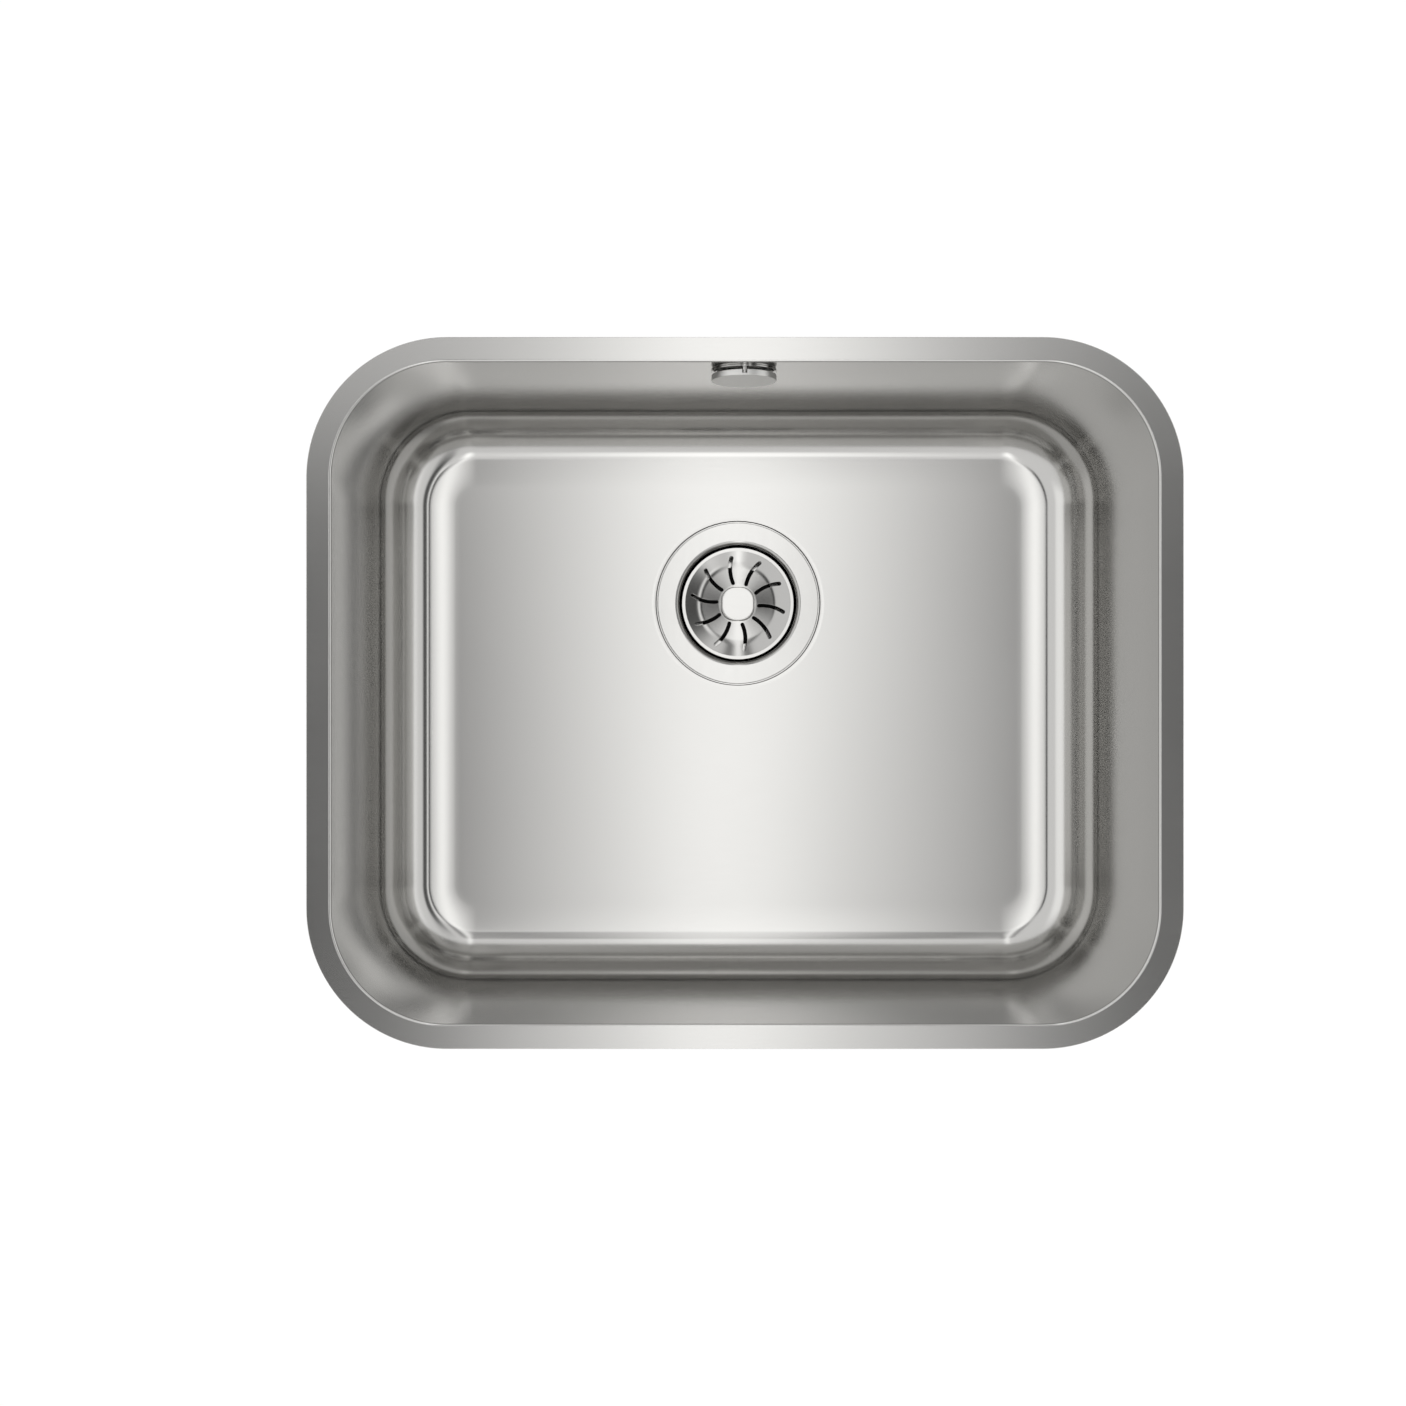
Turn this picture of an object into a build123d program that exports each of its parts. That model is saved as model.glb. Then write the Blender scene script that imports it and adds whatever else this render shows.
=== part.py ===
from build123d import *

import os
from math import cos, radians, sin, tan

# Undermount kitchen sink: a pressed steel bowl with its basket strainer waste,
# its overflow and the hose between them. Millimetres.
# The origin is the centre of the rim's top face. +Z is up, +Y points at the wall
# that carries the overflow, and +X is to the right of someone at the sink.

# ---- driving dimensions ----------------------------------------------------

# Bowl
rim_length = 530.0  # outside, left to right
rim_width = 430.0  # outside, front to back
rim_corner = 85.0  # outside corner radius
rim_flat = 15.0  # width of the flat rim
rim_bend = 1.5  # radius on the water side where the rim turns down
rim_under_bend = 0.6  # radius below the rim, in the same corner
sheet = 1.0  # steel thickness
bowl_depth = 200.0  # rim's top face to the floor
wall_draft = 3.2  # degrees that each wall leans
floor_fillet = 46.0  # radius on the water side between wall and floor
drain_set_back = 136.2  # back edge of the mouth to the drain axis
waste_hole_r = 45.0
ledge_r = 56.7  # ledge pressed round the waste hole
ledge_drop = 2.4

# Sound pads
pad_thickness = 2.5
pad_margin = 8.0  # from a pad's edge to the end of its flat
pad_corner = 12.0
pad_hole_gap = 4.0  # floor pad's hole to what it goes round
wall_pad_length = 220.0
wall_pad_height = 86.0
wall_pad_drop = 96.0  # rim to the middle of a wall pad

# Strainer cup, which is also the waste flange
cup_flange_r = 55.4
cup_flange_drop = 0.2  # flange below the floor
cup_sheet = 1.0
cup_r = 41.0
cup_lip = 3.0  # radius on the water side where the flange turns down
cup_depth = 41.0
cup_floor_fillet = 5.0
cup_hole_r = 3.5
cup_hole_circle = 16.5
cup_hole_count = 8

# Seals of the waste
flange_seal_width = 8.0
flange_seal_inset = 1.0  # seal's edge inside the flange's edge
under_seal_width = 10.0
under_seal_height = 3.0
under_seal_inset = 1.0  # seal's bore outside the waste hole

# Waste body
body_wall = 2.4
body_gap = 3.5  # water way between the cup and the body
body_flange_r = 57.5
body_flange_height = 5.0
body_flange_fillet = 2.0
body_shoulder_fillet = 6.0
body_neck_fillet = 3.0
cone_height = 24.0
outlet_thread_r = 23.9
outlet_bore_r = 20.2
outlet_length = 24.0
thread_pitch = 2.309
thread_depth = 1.2
thread_turns = 7
thread_crest = 0.1  # share of the pitch left at full height
hub_r = 12.5
hub_height = 19.0
hub_web = 3.0
hub_web_count = 2  # webs right across, so twice as many spokes
hub_roof = 4.0
branch_stub = 16.0  # overflow branch, measured from the side of the body
branch_drop = 14.0  # cup floor to the axis of the branch
branch_r = 12.5
branch_bore_r = 8.5

# Hollow screw and its nut
screw_r = 6.0
screw_bore_r = 4.1
screw_head_r = 10.0
screw_head_height = 2.6
screw_head_chamfer = 0.65
screw_inset = 1.0  # screw's tip above the bottom of the hub
screw_slot = 2.2
screw_slot_depth = 1.2
insert_flats = 16.0
insert_height = 13.0

# Basket strainer
basket_sheet = 0.8
basket_rim_r = 38.6
basket_rim_width = 2.2
basket_drop = 6.0  # floor to the top of the basket's rim
basket_rim_bend = 1.2
basket_knee_r = 27.0  # where the dish's slope eases
basket_knee_drop = 2.6  # rim to the knee
basket_knee_bend = 25.0
basket_hub_r = 12.0  # where the flat in the middle starts
basket_hub_drop = 3.8  # rim to the flat in the middle
basket_hub_bend = 40.0
slot_count = 10
slot_width = 2.6
slot_inner_r = 14.7
slot_mid_r = 23.0
slot_outer_r = 31.9
slot_inner_turn = -5.3  # degrees from the slot's own radius
slot_mid_turn = -4.9
slot_outer_turn = -10.2

# Knob, stem and plug seal
knob_side = 23.0
knob_corner = 9.5
knob_cap = 3.2
knob_neck_r = 7.5
knob_neck = 1.8
knob_edge = 0.6
knob_grip = 1.4  # how far the stem stops below the knob's face
stem_r = 3.0
stem_shoulder_r = 5.0
stem_tip = 10.0  # stem below its nut
stem_chamfer = 1.0
washer_r = 8.0
washer_height = 1.2
seal_r = 27.0
seal_plate = 3.0
seal_edge = 1.0
seal_skirt = 4.0
seal_skirt_height = 9.5
stem_nut_flats = 9.0
stem_nut_height = 3.2
catch_height = 1.6
catch_set_up = 3.2  # stem's tip to the catch ring
catch_groove = 0.5
catch_mouth = 60.0  # degrees left open in the catch ring

# Overflow
overflow_drop = 26.0  # rim to the overflow's axis, on the back wall
overflow_hole_r = 17.0
base_r = 20.0
base_bore_r = 14.5
base_height = 1.0
base_boss_r = 6.0
base_arm = 4.0
base_arm_count = 3
cover_gap = 1.9  # slot between base ring and cover
cover_r = 20.0
cover_depth = 3.8
cover_wall = 1.2
cover_edge = 0.4
cover_boss_r = 2.6
peg_r = 1.5
peg_circle = 17.2
peg_count = 3
peg_grip = 2.2  # length of a peg inside the cover
overflow_screw_r = 2.5
overflow_screw_length = 13.0
overflow_head_r = 4.6
overflow_head_height = 2.6
overflow_head_edge = 1.3
overflow_cross = 4.6  # length of the head's cross slot
overflow_cross_width = 1.8
overflow_cross_depth = 1.6
overflow_screw_room = 1.0  # hole beyond the screw's tip
overflow_seal_height = 2.0
elbow_flange_r = 22.0  # also the seal's radius
elbow_flange_height = 2.6
elbow_r = 17.0
elbow_depth = 13.5
elbow_wall = 2.0
elbow_post_r = 4.6
spigot_drop = 24.0  # overflow axis to the shoulder that the hose meets
spigot_collar_r = 9.0
spigot_collar_height = 16.0
spigot_length = 18.0
spigot_wall = 1.5

# Hose and its fittings
hose_bore_r = 7.6
hose_root_r = 8.8
hose_crest_r = 10.5
hose_cuff_r = 10.0
hose_cuff = 22.0
hose_bend = 60.0
rib_pitch = 4.0
clip_band = 0.8
clip_width = 9.0
clip_house = 7.0
clip_worm_r = 2.8
clip_worm_length = 14.0
union_r = 16.5
union_lip = 2.2
union_overlap = 12.0
cone_washer_height = 3.5
union_rib_count = 12
union_rib_r = 1.0

# Clearances
lift_gap = 0.3  # between pieces of two moving bodies
fit_gap = 0.05  # radial, where one piece sits in another

# ---- what follows from them ------------------------------------------------

mouth_length = rim_length - 2 * rim_flat
mouth_width = rim_width - 2 * rim_flat
mouth_corner = rim_corner - rim_flat
drain_back = mouth_width / 2 - drain_set_back
lean = tan(radians(wall_draft))

floor_z = -bowl_depth
floor_under_z = floor_z - sheet
ledge_z = floor_z - ledge_drop
ledge_under_z = ledge_z - sheet
cup_top_z = floor_z - cup_flange_drop
cup_floor_z = floor_z - cup_depth
cup_under_z = cup_floor_z - cup_sheet
body_top_z = ledge_under_z - under_seal_height
cone_top_z = cup_under_z - body_gap
cone_bottom_z = cone_top_z - cone_height
outlet_z = cone_bottom_z - outlet_length
hub_top_z = cup_under_z - body_gap
hub_bottom_z = hub_top_z - hub_height
branch_z = cup_floor_z - branch_drop
body_bore_r = cup_r + cup_sheet + body_gap
body_outer_r = body_bore_r + body_wall
branch_end_y = drain_back + body_outer_r + branch_stub
screw_top_z = cup_floor_z + screw_head_height
screw_bottom_z = hub_bottom_z + screw_inset

basket_top_z = floor_z - basket_drop
hub_plate_z = basket_top_z - basket_hub_drop
hub_plate_under_z = hub_plate_z - basket_sheet
knob_bottom_z = hub_plate_z
knob_top_z = knob_bottom_z + knob_neck + knob_cap
stem_top_z = knob_top_z - knob_grip
washer_top_z = hub_plate_under_z - lift_gap
stem_shoulder_z = washer_top_z - washer_height
seal_bottom_z = cup_floor_z + lift_gap
seal_top_z = seal_bottom_z + seal_skirt_height
seal_under_z = seal_top_z - seal_plate
stem_nut_z = seal_under_z - stem_nut_height
stem_bottom_z = stem_nut_z - stem_tip

overflow_y = mouth_width / 2 - overflow_drop * lean
elbow_front = sheet + overflow_seal_height
elbow_back = elbow_front + elbow_depth
hose_y = overflow_y + elbow_front + spigot_collar_r + lift_gap
spigot_z = -overflow_drop - spigot_drop
cover_back = base_height + cover_gap
cover_front = cover_back + cover_depth

floor_set_back = floor_fillet * tan(radians(45 - wall_draft / 2))
floor_flat_length = mouth_length - 2 * (bowl_depth * lean + floor_set_back)
floor_flat_width = mouth_width - 2 * (bowl_depth * lean + floor_set_back)

drain_axis = Axis((0, drain_back, 0), (0, 0, 1))
drain_section = Plane(origin=(0, drain_back, 0), x_dir=(1, 0, 0), z_dir=(0, -1, 0))
# The overflow's plane lies on the water side of the back wall and faces the bowl.
overflow_plane = Plane(
    origin=(0, overflow_y, -overflow_drop),
    x_dir=(1, 0, 0),
    z_dir=(0, -cos(radians(wall_draft)), sin(radians(wall_draft))),
)
branch_plane = Plane(origin=(0, 0, branch_z), x_dir=(-1, 0, 0), z_dir=(0, 1, 0))
hose_plane = Plane(origin=(0, hose_y, 0), x_dir=(1, 0, 0), z_dir=(0, 0, 1))

os.makedirs("parts", exist_ok=True)


def finish(piece, label):
    """Name a finished piece and write its file."""
    piece.part.label = label
    export_step(piece.part, f"parts/{label}.step")


def disc(plane, radius, start, end, bore=0.0, mode=Mode.ADD):
    """A disc or ring about a plane's axis, from one height to another above it."""
    with BuildSketch(plane.offset(start)) as face:
        Circle(radius)
        if bore:
            Circle(bore, mode=Mode.SUBTRACT)
    extrude(face.sketch, amount=end - start, mode=mode)


def drain_disc(radius, bottom, top, bore=0.0, mode=Mode.ADD):
    """A disc or ring about the drain axis."""
    drain_plane = Plane(origin=(0, drain_back, 0))
    disc(drain_plane, radius, bottom, top, bore, mode)


def drain_turned(points, radii, mode=Mode.ADD):
    """A closed outline of (radius, height) points, turned about the drain axis."""
    with BuildSketch(drain_section) as face:
        with BuildLine():
            FilletPolyline(points, radius=radii, close=True)
        make_face()
    revolve(face.sketch, axis=drain_axis, mode=mode)


def drain_pressed(points, radii, thickness):
    """Sheet of one thickness below a line of (radius, height) points, turned."""
    with BuildSketch(drain_section) as face:
        with BuildLine():
            FilletPolyline(points, radius=radii)
            offset(amount=thickness, side=Side.LEFT)
        make_face()
    revolve(face.sketch, axis=drain_axis)


def bowl_space(growth):
    """The room inside the bowl, with its walls and floor moved out by growth."""
    with BuildPart() as space:
        with BuildSketch(Plane.XY):
            RectangleRounded(
                mouth_length + 2 * growth, mouth_width + 2 * growth, mouth_corner + growth
            )
        extrude(amount=-(bowl_depth + growth), taper=wall_draft)
        fillet(space.faces().sort_by(Axis.Z)[0].edges(), floor_fillet + growth)
    return space.part


# ---- bowl and sound pads ---------------------------------------------------

with BuildPart() as bowl:
    add(bowl_space(sheet))
    with BuildSketch(Plane.XY):
        RectangleRounded(rim_length, rim_width, rim_corner)
    extrude(amount=-sheet)
    drain_disc(ledge_r + sheet, ledge_under_z, floor_z)
    add(bowl_space(0), mode=Mode.SUBTRACT)
    drain_disc(ledge_r, ledge_z, floor_z, mode=Mode.SUBTRACT)
    drain_disc(waste_hole_r, ledge_under_z, ledge_z, mode=Mode.SUBTRACT)
    disc(overflow_plane, overflow_hole_r, -2 * sheet, sheet, mode=Mode.SUBTRACT)
    rim_top = bowl.faces().filter_by(Axis.Z).sort_by(Axis.Z)[-1]
    fillet(rim_top.inner_wires()[0].edges(), rim_bend)
    rim_under = bowl.faces().filter_by(Axis.Z).sort_by(Axis.Z)[-2]
    fillet(rim_under.inner_wires()[0].edges(), rim_under_bend)
finish(bowl, "bowl")

with BuildPart() as floor_sound_pad:
    with BuildSketch(Plane.XY.offset(floor_under_z)):
        RectangleRounded(
            floor_flat_length - 2 * pad_margin, floor_flat_width - 2 * pad_margin, pad_corner
        )
        with Locations((0, drain_back)):
            Circle(max(ledge_r + sheet, body_flange_r) + pad_hole_gap, mode=Mode.SUBTRACT)
    extrude(amount=-pad_thickness)
finish(floor_sound_pad, "floor_sound_pad")

wall_pad_x = mouth_length / 2 + sheet - wall_pad_drop * lean
with BuildPart() as wall_sound_pads:
    wall_plane = Plane(
        origin=(wall_pad_x, 0, -wall_pad_drop),
        x_dir=(0, 1, 0),
        z_dir=(cos(radians(wall_draft)), 0, -sin(radians(wall_draft))),
    )
    with BuildSketch(wall_plane):
        RectangleRounded(wall_pad_length, wall_pad_height, pad_corner)
    extrude(amount=pad_thickness)
    mirror(about=Plane.YZ)
finish(wall_sound_pads, "wall_sound_pads")

# ---- strainer cup and its seals --------------------------------------------

with BuildPart() as strainer_cup:
    drain_pressed(
        [
            (cup_flange_r, cup_top_z),
            (cup_r, cup_top_z),
            (cup_r, cup_floor_z),
            (screw_r + fit_gap, cup_floor_z),
        ],
        [cup_lip, cup_floor_fillet],
        cup_sheet,
    )
    with BuildSketch(Plane.XY.offset(cup_under_z)):
        with Locations((0, drain_back)):
            with PolarLocations(cup_hole_circle, cup_hole_count):
                Circle(cup_hole_r)
    extrude(amount=cup_sheet, mode=Mode.SUBTRACT)
finish(strainer_cup, "strainer_cup")

with BuildPart() as cup_flange_seal:
    flange_seal_r = cup_flange_r - flange_seal_inset
    drain_disc(
        flange_seal_r, ledge_z, cup_top_z - cup_sheet, bore=flange_seal_r - flange_seal_width
    )
finish(cup_flange_seal, "cup_flange_seal")

with BuildPart() as under_floor_seal:
    under_seal_bore_r = waste_hole_r + under_seal_inset
    drain_disc(
        under_seal_bore_r + under_seal_width, body_top_z, ledge_under_z, bore=under_seal_bore_r
    )
finish(under_floor_seal, "under_floor_seal")

# ---- waste body --------------------------------------------------------------

hollow_outline = [
    (0, body_top_z),
    (body_bore_r, body_top_z),
    (body_bore_r, cone_top_z),
    (outlet_bore_r, cone_bottom_z),
    (outlet_bore_r, outlet_z),
    (0, outlet_z),
]
outer_outline = [
    (0, body_top_z),
    (body_flange_r, body_top_z),
    (body_flange_r, body_top_z - body_flange_height),
    (body_outer_r, body_top_z - body_flange_height),
    (body_outer_r, cone_top_z - body_wall / 2),
    (outlet_thread_r, cone_bottom_z - body_wall / 2),
    (outlet_thread_r, outlet_z),
    (0, outlet_z),
]
outer_fillets = [0, 0, 0, body_flange_fillet, body_shoulder_fillet, body_neck_fillet, 0, 0]
hollow_fillets = [0, 0, body_shoulder_fillet, body_neck_fillet, 0, 0]

with BuildPart() as hub_and_webs:
    drain_turned(outer_outline, outer_fillets)
    with BuildSketch(Plane.XY.offset(hub_bottom_z)):
        with Locations((0, drain_back)):
            Circle(hub_r)
            with PolarLocations(0, hub_web_count, start_angle=45, angular_range=180):
                Rectangle(2 * body_outer_r, hub_web)
    extrude(amount=hub_height, mode=Mode.INTERSECT)

with BuildPart() as waste_body:
    drain_turned(outer_outline, outer_fillets)
    disc(branch_plane, branch_r, drain_back + hub_r, branch_end_y)
    drain_turned(hollow_outline, hollow_fillets, mode=Mode.SUBTRACT)
    disc(
        branch_plane,
        branch_bore_r,
        drain_back + outlet_bore_r,
        branch_end_y,
        mode=Mode.SUBTRACT,
    )
    add(hub_and_webs.part)
    drain_disc(screw_r + lift_gap, hub_bottom_z, hub_top_z, mode=Mode.SUBTRACT)
    with BuildSketch(Plane.XY.offset(hub_bottom_z)):
        with Locations((0, drain_back)):
            RegularPolygon(insert_flats / 2 + fit_gap, 6, major_radius=False)
    extrude(amount=hub_height - hub_roof, mode=Mode.SUBTRACT)
    groove_flank = (1 - thread_crest) * thread_pitch
    for turn in range(thread_turns):
        groove_z = outlet_z + (turn + 1) * thread_pitch
        drain_turned(
            [
                (outlet_thread_r - thread_depth, groove_z),
                (outlet_thread_r + thread_depth, groove_z + groove_flank),
                (outlet_thread_r + thread_depth, groove_z - groove_flank),
            ],
            [0, 0, 0],
            mode=Mode.SUBTRACT,
        )
finish(waste_body, "waste_body")

with BuildPart() as insert_nut:
    with BuildSketch(Plane.XY.offset(hub_top_z - hub_roof)):
        with Locations((0, drain_back)):
            RegularPolygon(insert_flats / 2, 6, major_radius=False)
            Circle(screw_r + fit_gap, mode=Mode.SUBTRACT)
    extrude(amount=-insert_height)
finish(insert_nut, "insert_nut")

with BuildPart() as hollow_screw:
    drain_disc(screw_r, screw_bottom_z, cup_floor_z)
    drain_disc(screw_head_r, cup_floor_z, screw_top_z)
    head_face = hollow_screw.faces().sort_by(Axis.Z)[-1]
    chamfer(head_face.edges(), screw_head_chamfer)
    drain_disc(screw_bore_r, screw_bottom_z, screw_top_z, mode=Mode.SUBTRACT)
    with BuildSketch(Plane.XY.offset(screw_top_z)):
        with Locations((0, drain_back)):
            Rectangle(2 * screw_head_r, screw_slot)
    extrude(amount=-screw_slot_depth, mode=Mode.SUBTRACT)
finish(hollow_screw, "hollow_screw")

# ---- basket strainer ---------------------------------------------------------


def slot_point(radius, turn):
    """A point of a slot's centre line, from its radius and its turn in degrees."""
    return (radius * cos(radians(turn)), radius * sin(radians(turn)))


with BuildPart() as strainer_basket:
    drain_pressed(
        [
            (basket_rim_r, basket_top_z),
            (basket_rim_r - basket_rim_width, basket_top_z),
            (basket_knee_r, basket_top_z - basket_knee_drop),
            (basket_hub_r, hub_plate_z),
            (stem_r + fit_gap, hub_plate_z),
        ],
        [basket_rim_bend, basket_knee_bend, basket_hub_bend],
        basket_sheet,
    )
    with BuildLine(mode=Mode.PRIVATE) as slot_line:
        ThreePointArc(
            slot_point(slot_inner_r, slot_inner_turn),
            slot_point(slot_mid_r, slot_mid_turn),
            slot_point(slot_outer_r, slot_outer_turn),
        )
    with BuildSketch(Plane(origin=(0, drain_back, basket_top_z))):
        with PolarLocations(0, slot_count):
            SlotArc(slot_line.wires()[0], slot_width)
    extrude(amount=-(basket_hub_drop + 2 * basket_sheet), mode=Mode.SUBTRACT)
finish(strainer_basket, "strainer_basket")

with BuildPart() as strainer_knob:
    with BuildSketch(Plane(origin=(0, drain_back, knob_top_z))):
        RectangleRounded(knob_side, knob_side, knob_corner)
    extrude(amount=-knob_cap)
    fillet(strainer_knob.faces().sort_by(Axis.Z)[-1].edges(), knob_edge)
    drain_disc(knob_neck_r, knob_bottom_z, knob_top_z - knob_cap)
    drain_disc(stem_r + fit_gap, knob_bottom_z, stem_top_z + lift_gap, mode=Mode.SUBTRACT)
finish(strainer_knob, "strainer_knob")

catch_z = stem_bottom_z + catch_set_up
with BuildPart() as knob_stem:
    drain_disc(stem_r, stem_bottom_z, stem_top_z)
    chamfer(knob_stem.faces().sort_by(Axis.Z)[0].edges(), stem_chamfer)
    drain_disc(stem_shoulder_r, seal_top_z, stem_shoulder_z)
    drain_disc(
        stem_r, catch_z, catch_z + catch_height, bore=stem_r - catch_groove, mode=Mode.SUBTRACT
    )
finish(knob_stem, "knob_stem")

with BuildPart() as stem_washer:
    drain_disc(washer_r, stem_shoulder_z, washer_top_z, bore=stem_r + fit_gap)
finish(stem_washer, "stem_washer")

with BuildPart() as plug_seal:
    drain_disc(seal_r, seal_under_z, seal_top_z, bore=stem_r + fit_gap)
    drain_disc(seal_r, seal_bottom_z, seal_under_z, bore=seal_r - seal_skirt)
    fillet(plug_seal.faces().sort_by(Axis.Z)[-1].outer_wire().edges(), seal_edge)
finish(plug_seal, "plug_seal")

with BuildPart() as stem_nut:
    with BuildSketch(Plane(origin=(0, drain_back, stem_nut_z))):
        RegularPolygon(stem_nut_flats / 2, 6, major_radius=False)
        Circle(stem_r + fit_gap, mode=Mode.SUBTRACT)
    extrude(amount=stem_nut_height)
finish(stem_nut, "stem_nut")

with BuildPart() as catch_ring:
    drain_disc(
        screw_bore_r - lift_gap,
        catch_z,
        catch_z + catch_height,
        bore=stem_r - catch_groove + fit_gap,
    )
    with BuildSketch(Plane(origin=(0, drain_back, catch_z))):
        with BuildLine():
            half_mouth = radians(catch_mouth / 2)
            far = (2 * screw_bore_r * cos(half_mouth), 2 * screw_bore_r * sin(half_mouth))
            Polyline((0, 0), far, (far[0], -far[1]), close=True)
        make_face()
    extrude(amount=catch_height, mode=Mode.SUBTRACT)
finish(catch_ring, "catch_ring")

# ---- overflow ------------------------------------------------------------------

with BuildPart() as overflow_base:
    with BuildSketch(overflow_plane):
        Circle(base_r)
        Circle(base_bore_r, mode=Mode.SUBTRACT)
        Circle(base_boss_r)
        with PolarLocations(0, base_arm_count, start_angle=30):
            with Locations((base_bore_r / 2, 0)):
                Rectangle(base_bore_r + base_arm / 2, base_arm)
        Circle(overflow_screw_r + fit_gap, mode=Mode.SUBTRACT)
        with PolarLocations(peg_circle, peg_count, start_angle=90):
            Circle(peg_r, mode=Mode.SUBTRACT)
    extrude(amount=base_height)
finish(overflow_base, "overflow_base")

with BuildPart() as overflow_pegs:
    with BuildSketch(overflow_plane):
        with PolarLocations(peg_circle, peg_count, start_angle=90):
            Circle(peg_r)
    extrude(amount=cover_back + peg_grip)
finish(overflow_pegs, "overflow_pegs")

with BuildPart() as overflow_cover:
    disc(overflow_plane, cover_r, cover_back, cover_front)
    fillet(overflow_cover.faces().filter_by(GeomType.PLANE).edges(), cover_edge)
    disc(
        overflow_plane,
        cover_r - cover_wall,
        cover_back,
        cover_front - cover_wall,
        mode=Mode.SUBTRACT,
    )
    with BuildSketch(overflow_plane.offset(cover_back + cover_edge)):
        with PolarLocations(peg_circle, peg_count, start_angle=90):
            Circle(cover_boss_r)
    extrude(amount=cover_depth - cover_edge - cover_wall)
    # Each peg sits in a notch that is open at the cover's edge.
    notch_length = cover_r - peg_circle + lift_gap
    with BuildSketch(overflow_plane.offset(cover_back)):
        with PolarLocations(peg_circle, peg_count, start_angle=90):
            Circle(peg_r + fit_gap)
            with Locations((notch_length / 2, 0)):
                Rectangle(notch_length, 2 * (peg_r + fit_gap))
    extrude(amount=peg_grip + lift_gap, mode=Mode.SUBTRACT)
finish(overflow_cover, "overflow_cover")

with BuildPart() as overflow_screw:
    disc(overflow_plane, overflow_screw_r, base_height - overflow_screw_length, base_height)
    disc(overflow_plane, overflow_head_r, base_height, base_height + overflow_head_height)
    head_edges = overflow_screw.edges().filter_by(GeomType.CIRCLE).sort_by(SortBy.RADIUS)[-2:]
    fillet(head_edges.sort_by(Axis.Y)[0], overflow_head_edge)
    with BuildSketch(overflow_plane.offset(base_height + overflow_head_height)):
        Rectangle(overflow_cross, overflow_cross_width)
        Rectangle(overflow_cross_width, overflow_cross)
    extrude(amount=-overflow_cross_depth, mode=Mode.SUBTRACT)
finish(overflow_screw, "overflow_screw")

with BuildPart() as overflow_seal:
    disc(
        overflow_plane,
        elbow_flange_r,
        -elbow_front,
        -sheet,
        bore=overflow_hole_r + fit_gap,
    )
finish(overflow_seal, "overflow_seal")

with BuildPart() as overflow_elbow:
    disc(overflow_plane, elbow_flange_r, -elbow_front - elbow_flange_height, -elbow_front)
    disc(overflow_plane, elbow_r, -elbow_back, -elbow_front)
    disc(hose_plane, spigot_collar_r, spigot_z, spigot_z + spigot_collar_height)
    disc(hose_plane, hose_bore_r - fit_gap, spigot_z - spigot_length, spigot_z)
    disc(
        overflow_plane,
        elbow_r - elbow_wall,
        elbow_wall - elbow_back,
        -elbow_front,
        mode=Mode.SUBTRACT,
    )
    disc(
        hose_plane,
        hose_bore_r - fit_gap - spigot_wall,
        spigot_z - spigot_length,
        spigot_z + spigot_collar_height - elbow_wall,
        mode=Mode.SUBTRACT,
    )
    disc(overflow_plane, elbow_post_r, -elbow_back, -elbow_front)
    disc(
        overflow_plane,
        overflow_screw_r + fit_gap,
        base_height - overflow_screw_length - overflow_screw_room,
        -elbow_front,
        mode=Mode.SUBTRACT,
    )
finish(overflow_elbow, "overflow_elbow")

# ---- hose ------------------------------------------------------------------------

hose_top = (0, hose_y, spigot_z)
hose_end = (0, branch_end_y, branch_z)
with BuildLine(mode=Mode.PRIVATE) as hose_line:
    FilletPolyline(hose_top, (0, hose_y, branch_z), hose_end, radius=hose_bend)
hose_path = hose_line.wires()[0]
ribbed_length = hose_path.length - 2 * hose_cuff
rib_count = round(ribbed_length / rib_pitch)
rib_step = ribbed_length / rib_count
# Where the four circles of a rib stand, as shares of one rib, and their radii.
rib_shape = [(0.10, hose_root_r), (0.30, hose_crest_r), (0.60, hose_crest_r), (0.80, hose_root_r)]
hose_rings = [(0.0, hose_cuff_r), (hose_cuff, hose_cuff_r)]
for rib in range(rib_count):
    for share, radius in rib_shape:
        hose_rings.append((hose_cuff + (rib + share) * rib_step, radius))
hose_rings.append((hose_path.length - hose_cuff, hose_cuff_r))
hose_rings.append((hose_path.length, hose_cuff_r))


def hose_section(distance):
    """The plane square to the hose at a distance along it, with a steady X axis."""
    share = distance / hose_path.length
    return Plane(origin=hose_path @ share, x_dir=(1, 0, 0), z_dir=hose_path % share)


with BuildPart() as overflow_hose:
    for distance, radius in hose_rings:
        with BuildSketch(hose_section(distance)):
            Circle(radius)
    loft(ruled=True)
    with BuildSketch(hose_section(0)) as bore_face:
        Circle(hose_bore_r)
    sweep(bore_face.sketch, path=hose_path, mode=Mode.SUBTRACT)
finish(overflow_hose, "overflow_hose")

clip_top = spigot_z - (hose_cuff - clip_width) / 2
with BuildPart() as hose_clip:
    band_r = hose_cuff_r + fit_gap + clip_band
    house_plane = Plane(origin=(0, hose_y, clip_top - clip_width / 2))
    with BuildSketch(house_plane.offset(-clip_width / 2)):
        with Locations((band_r + clip_house / 2, 0)):
            RectangleRounded(clip_house + clip_band, clip_house, clip_band)
        Circle(band_r)
        Circle(hose_cuff_r + fit_gap, mode=Mode.SUBTRACT)
    extrude(amount=clip_width)
    worm_plane = Plane(
        origin=(band_r + clip_house / 2, hose_y - clip_worm_length / 2, clip_top - clip_width / 2),
        x_dir=(1, 0, 0),
        z_dir=(0, 1, 0),
    )
    disc(worm_plane, clip_worm_r, 0, clip_worm_length)
finish(hose_clip, "hose_clip")

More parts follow.
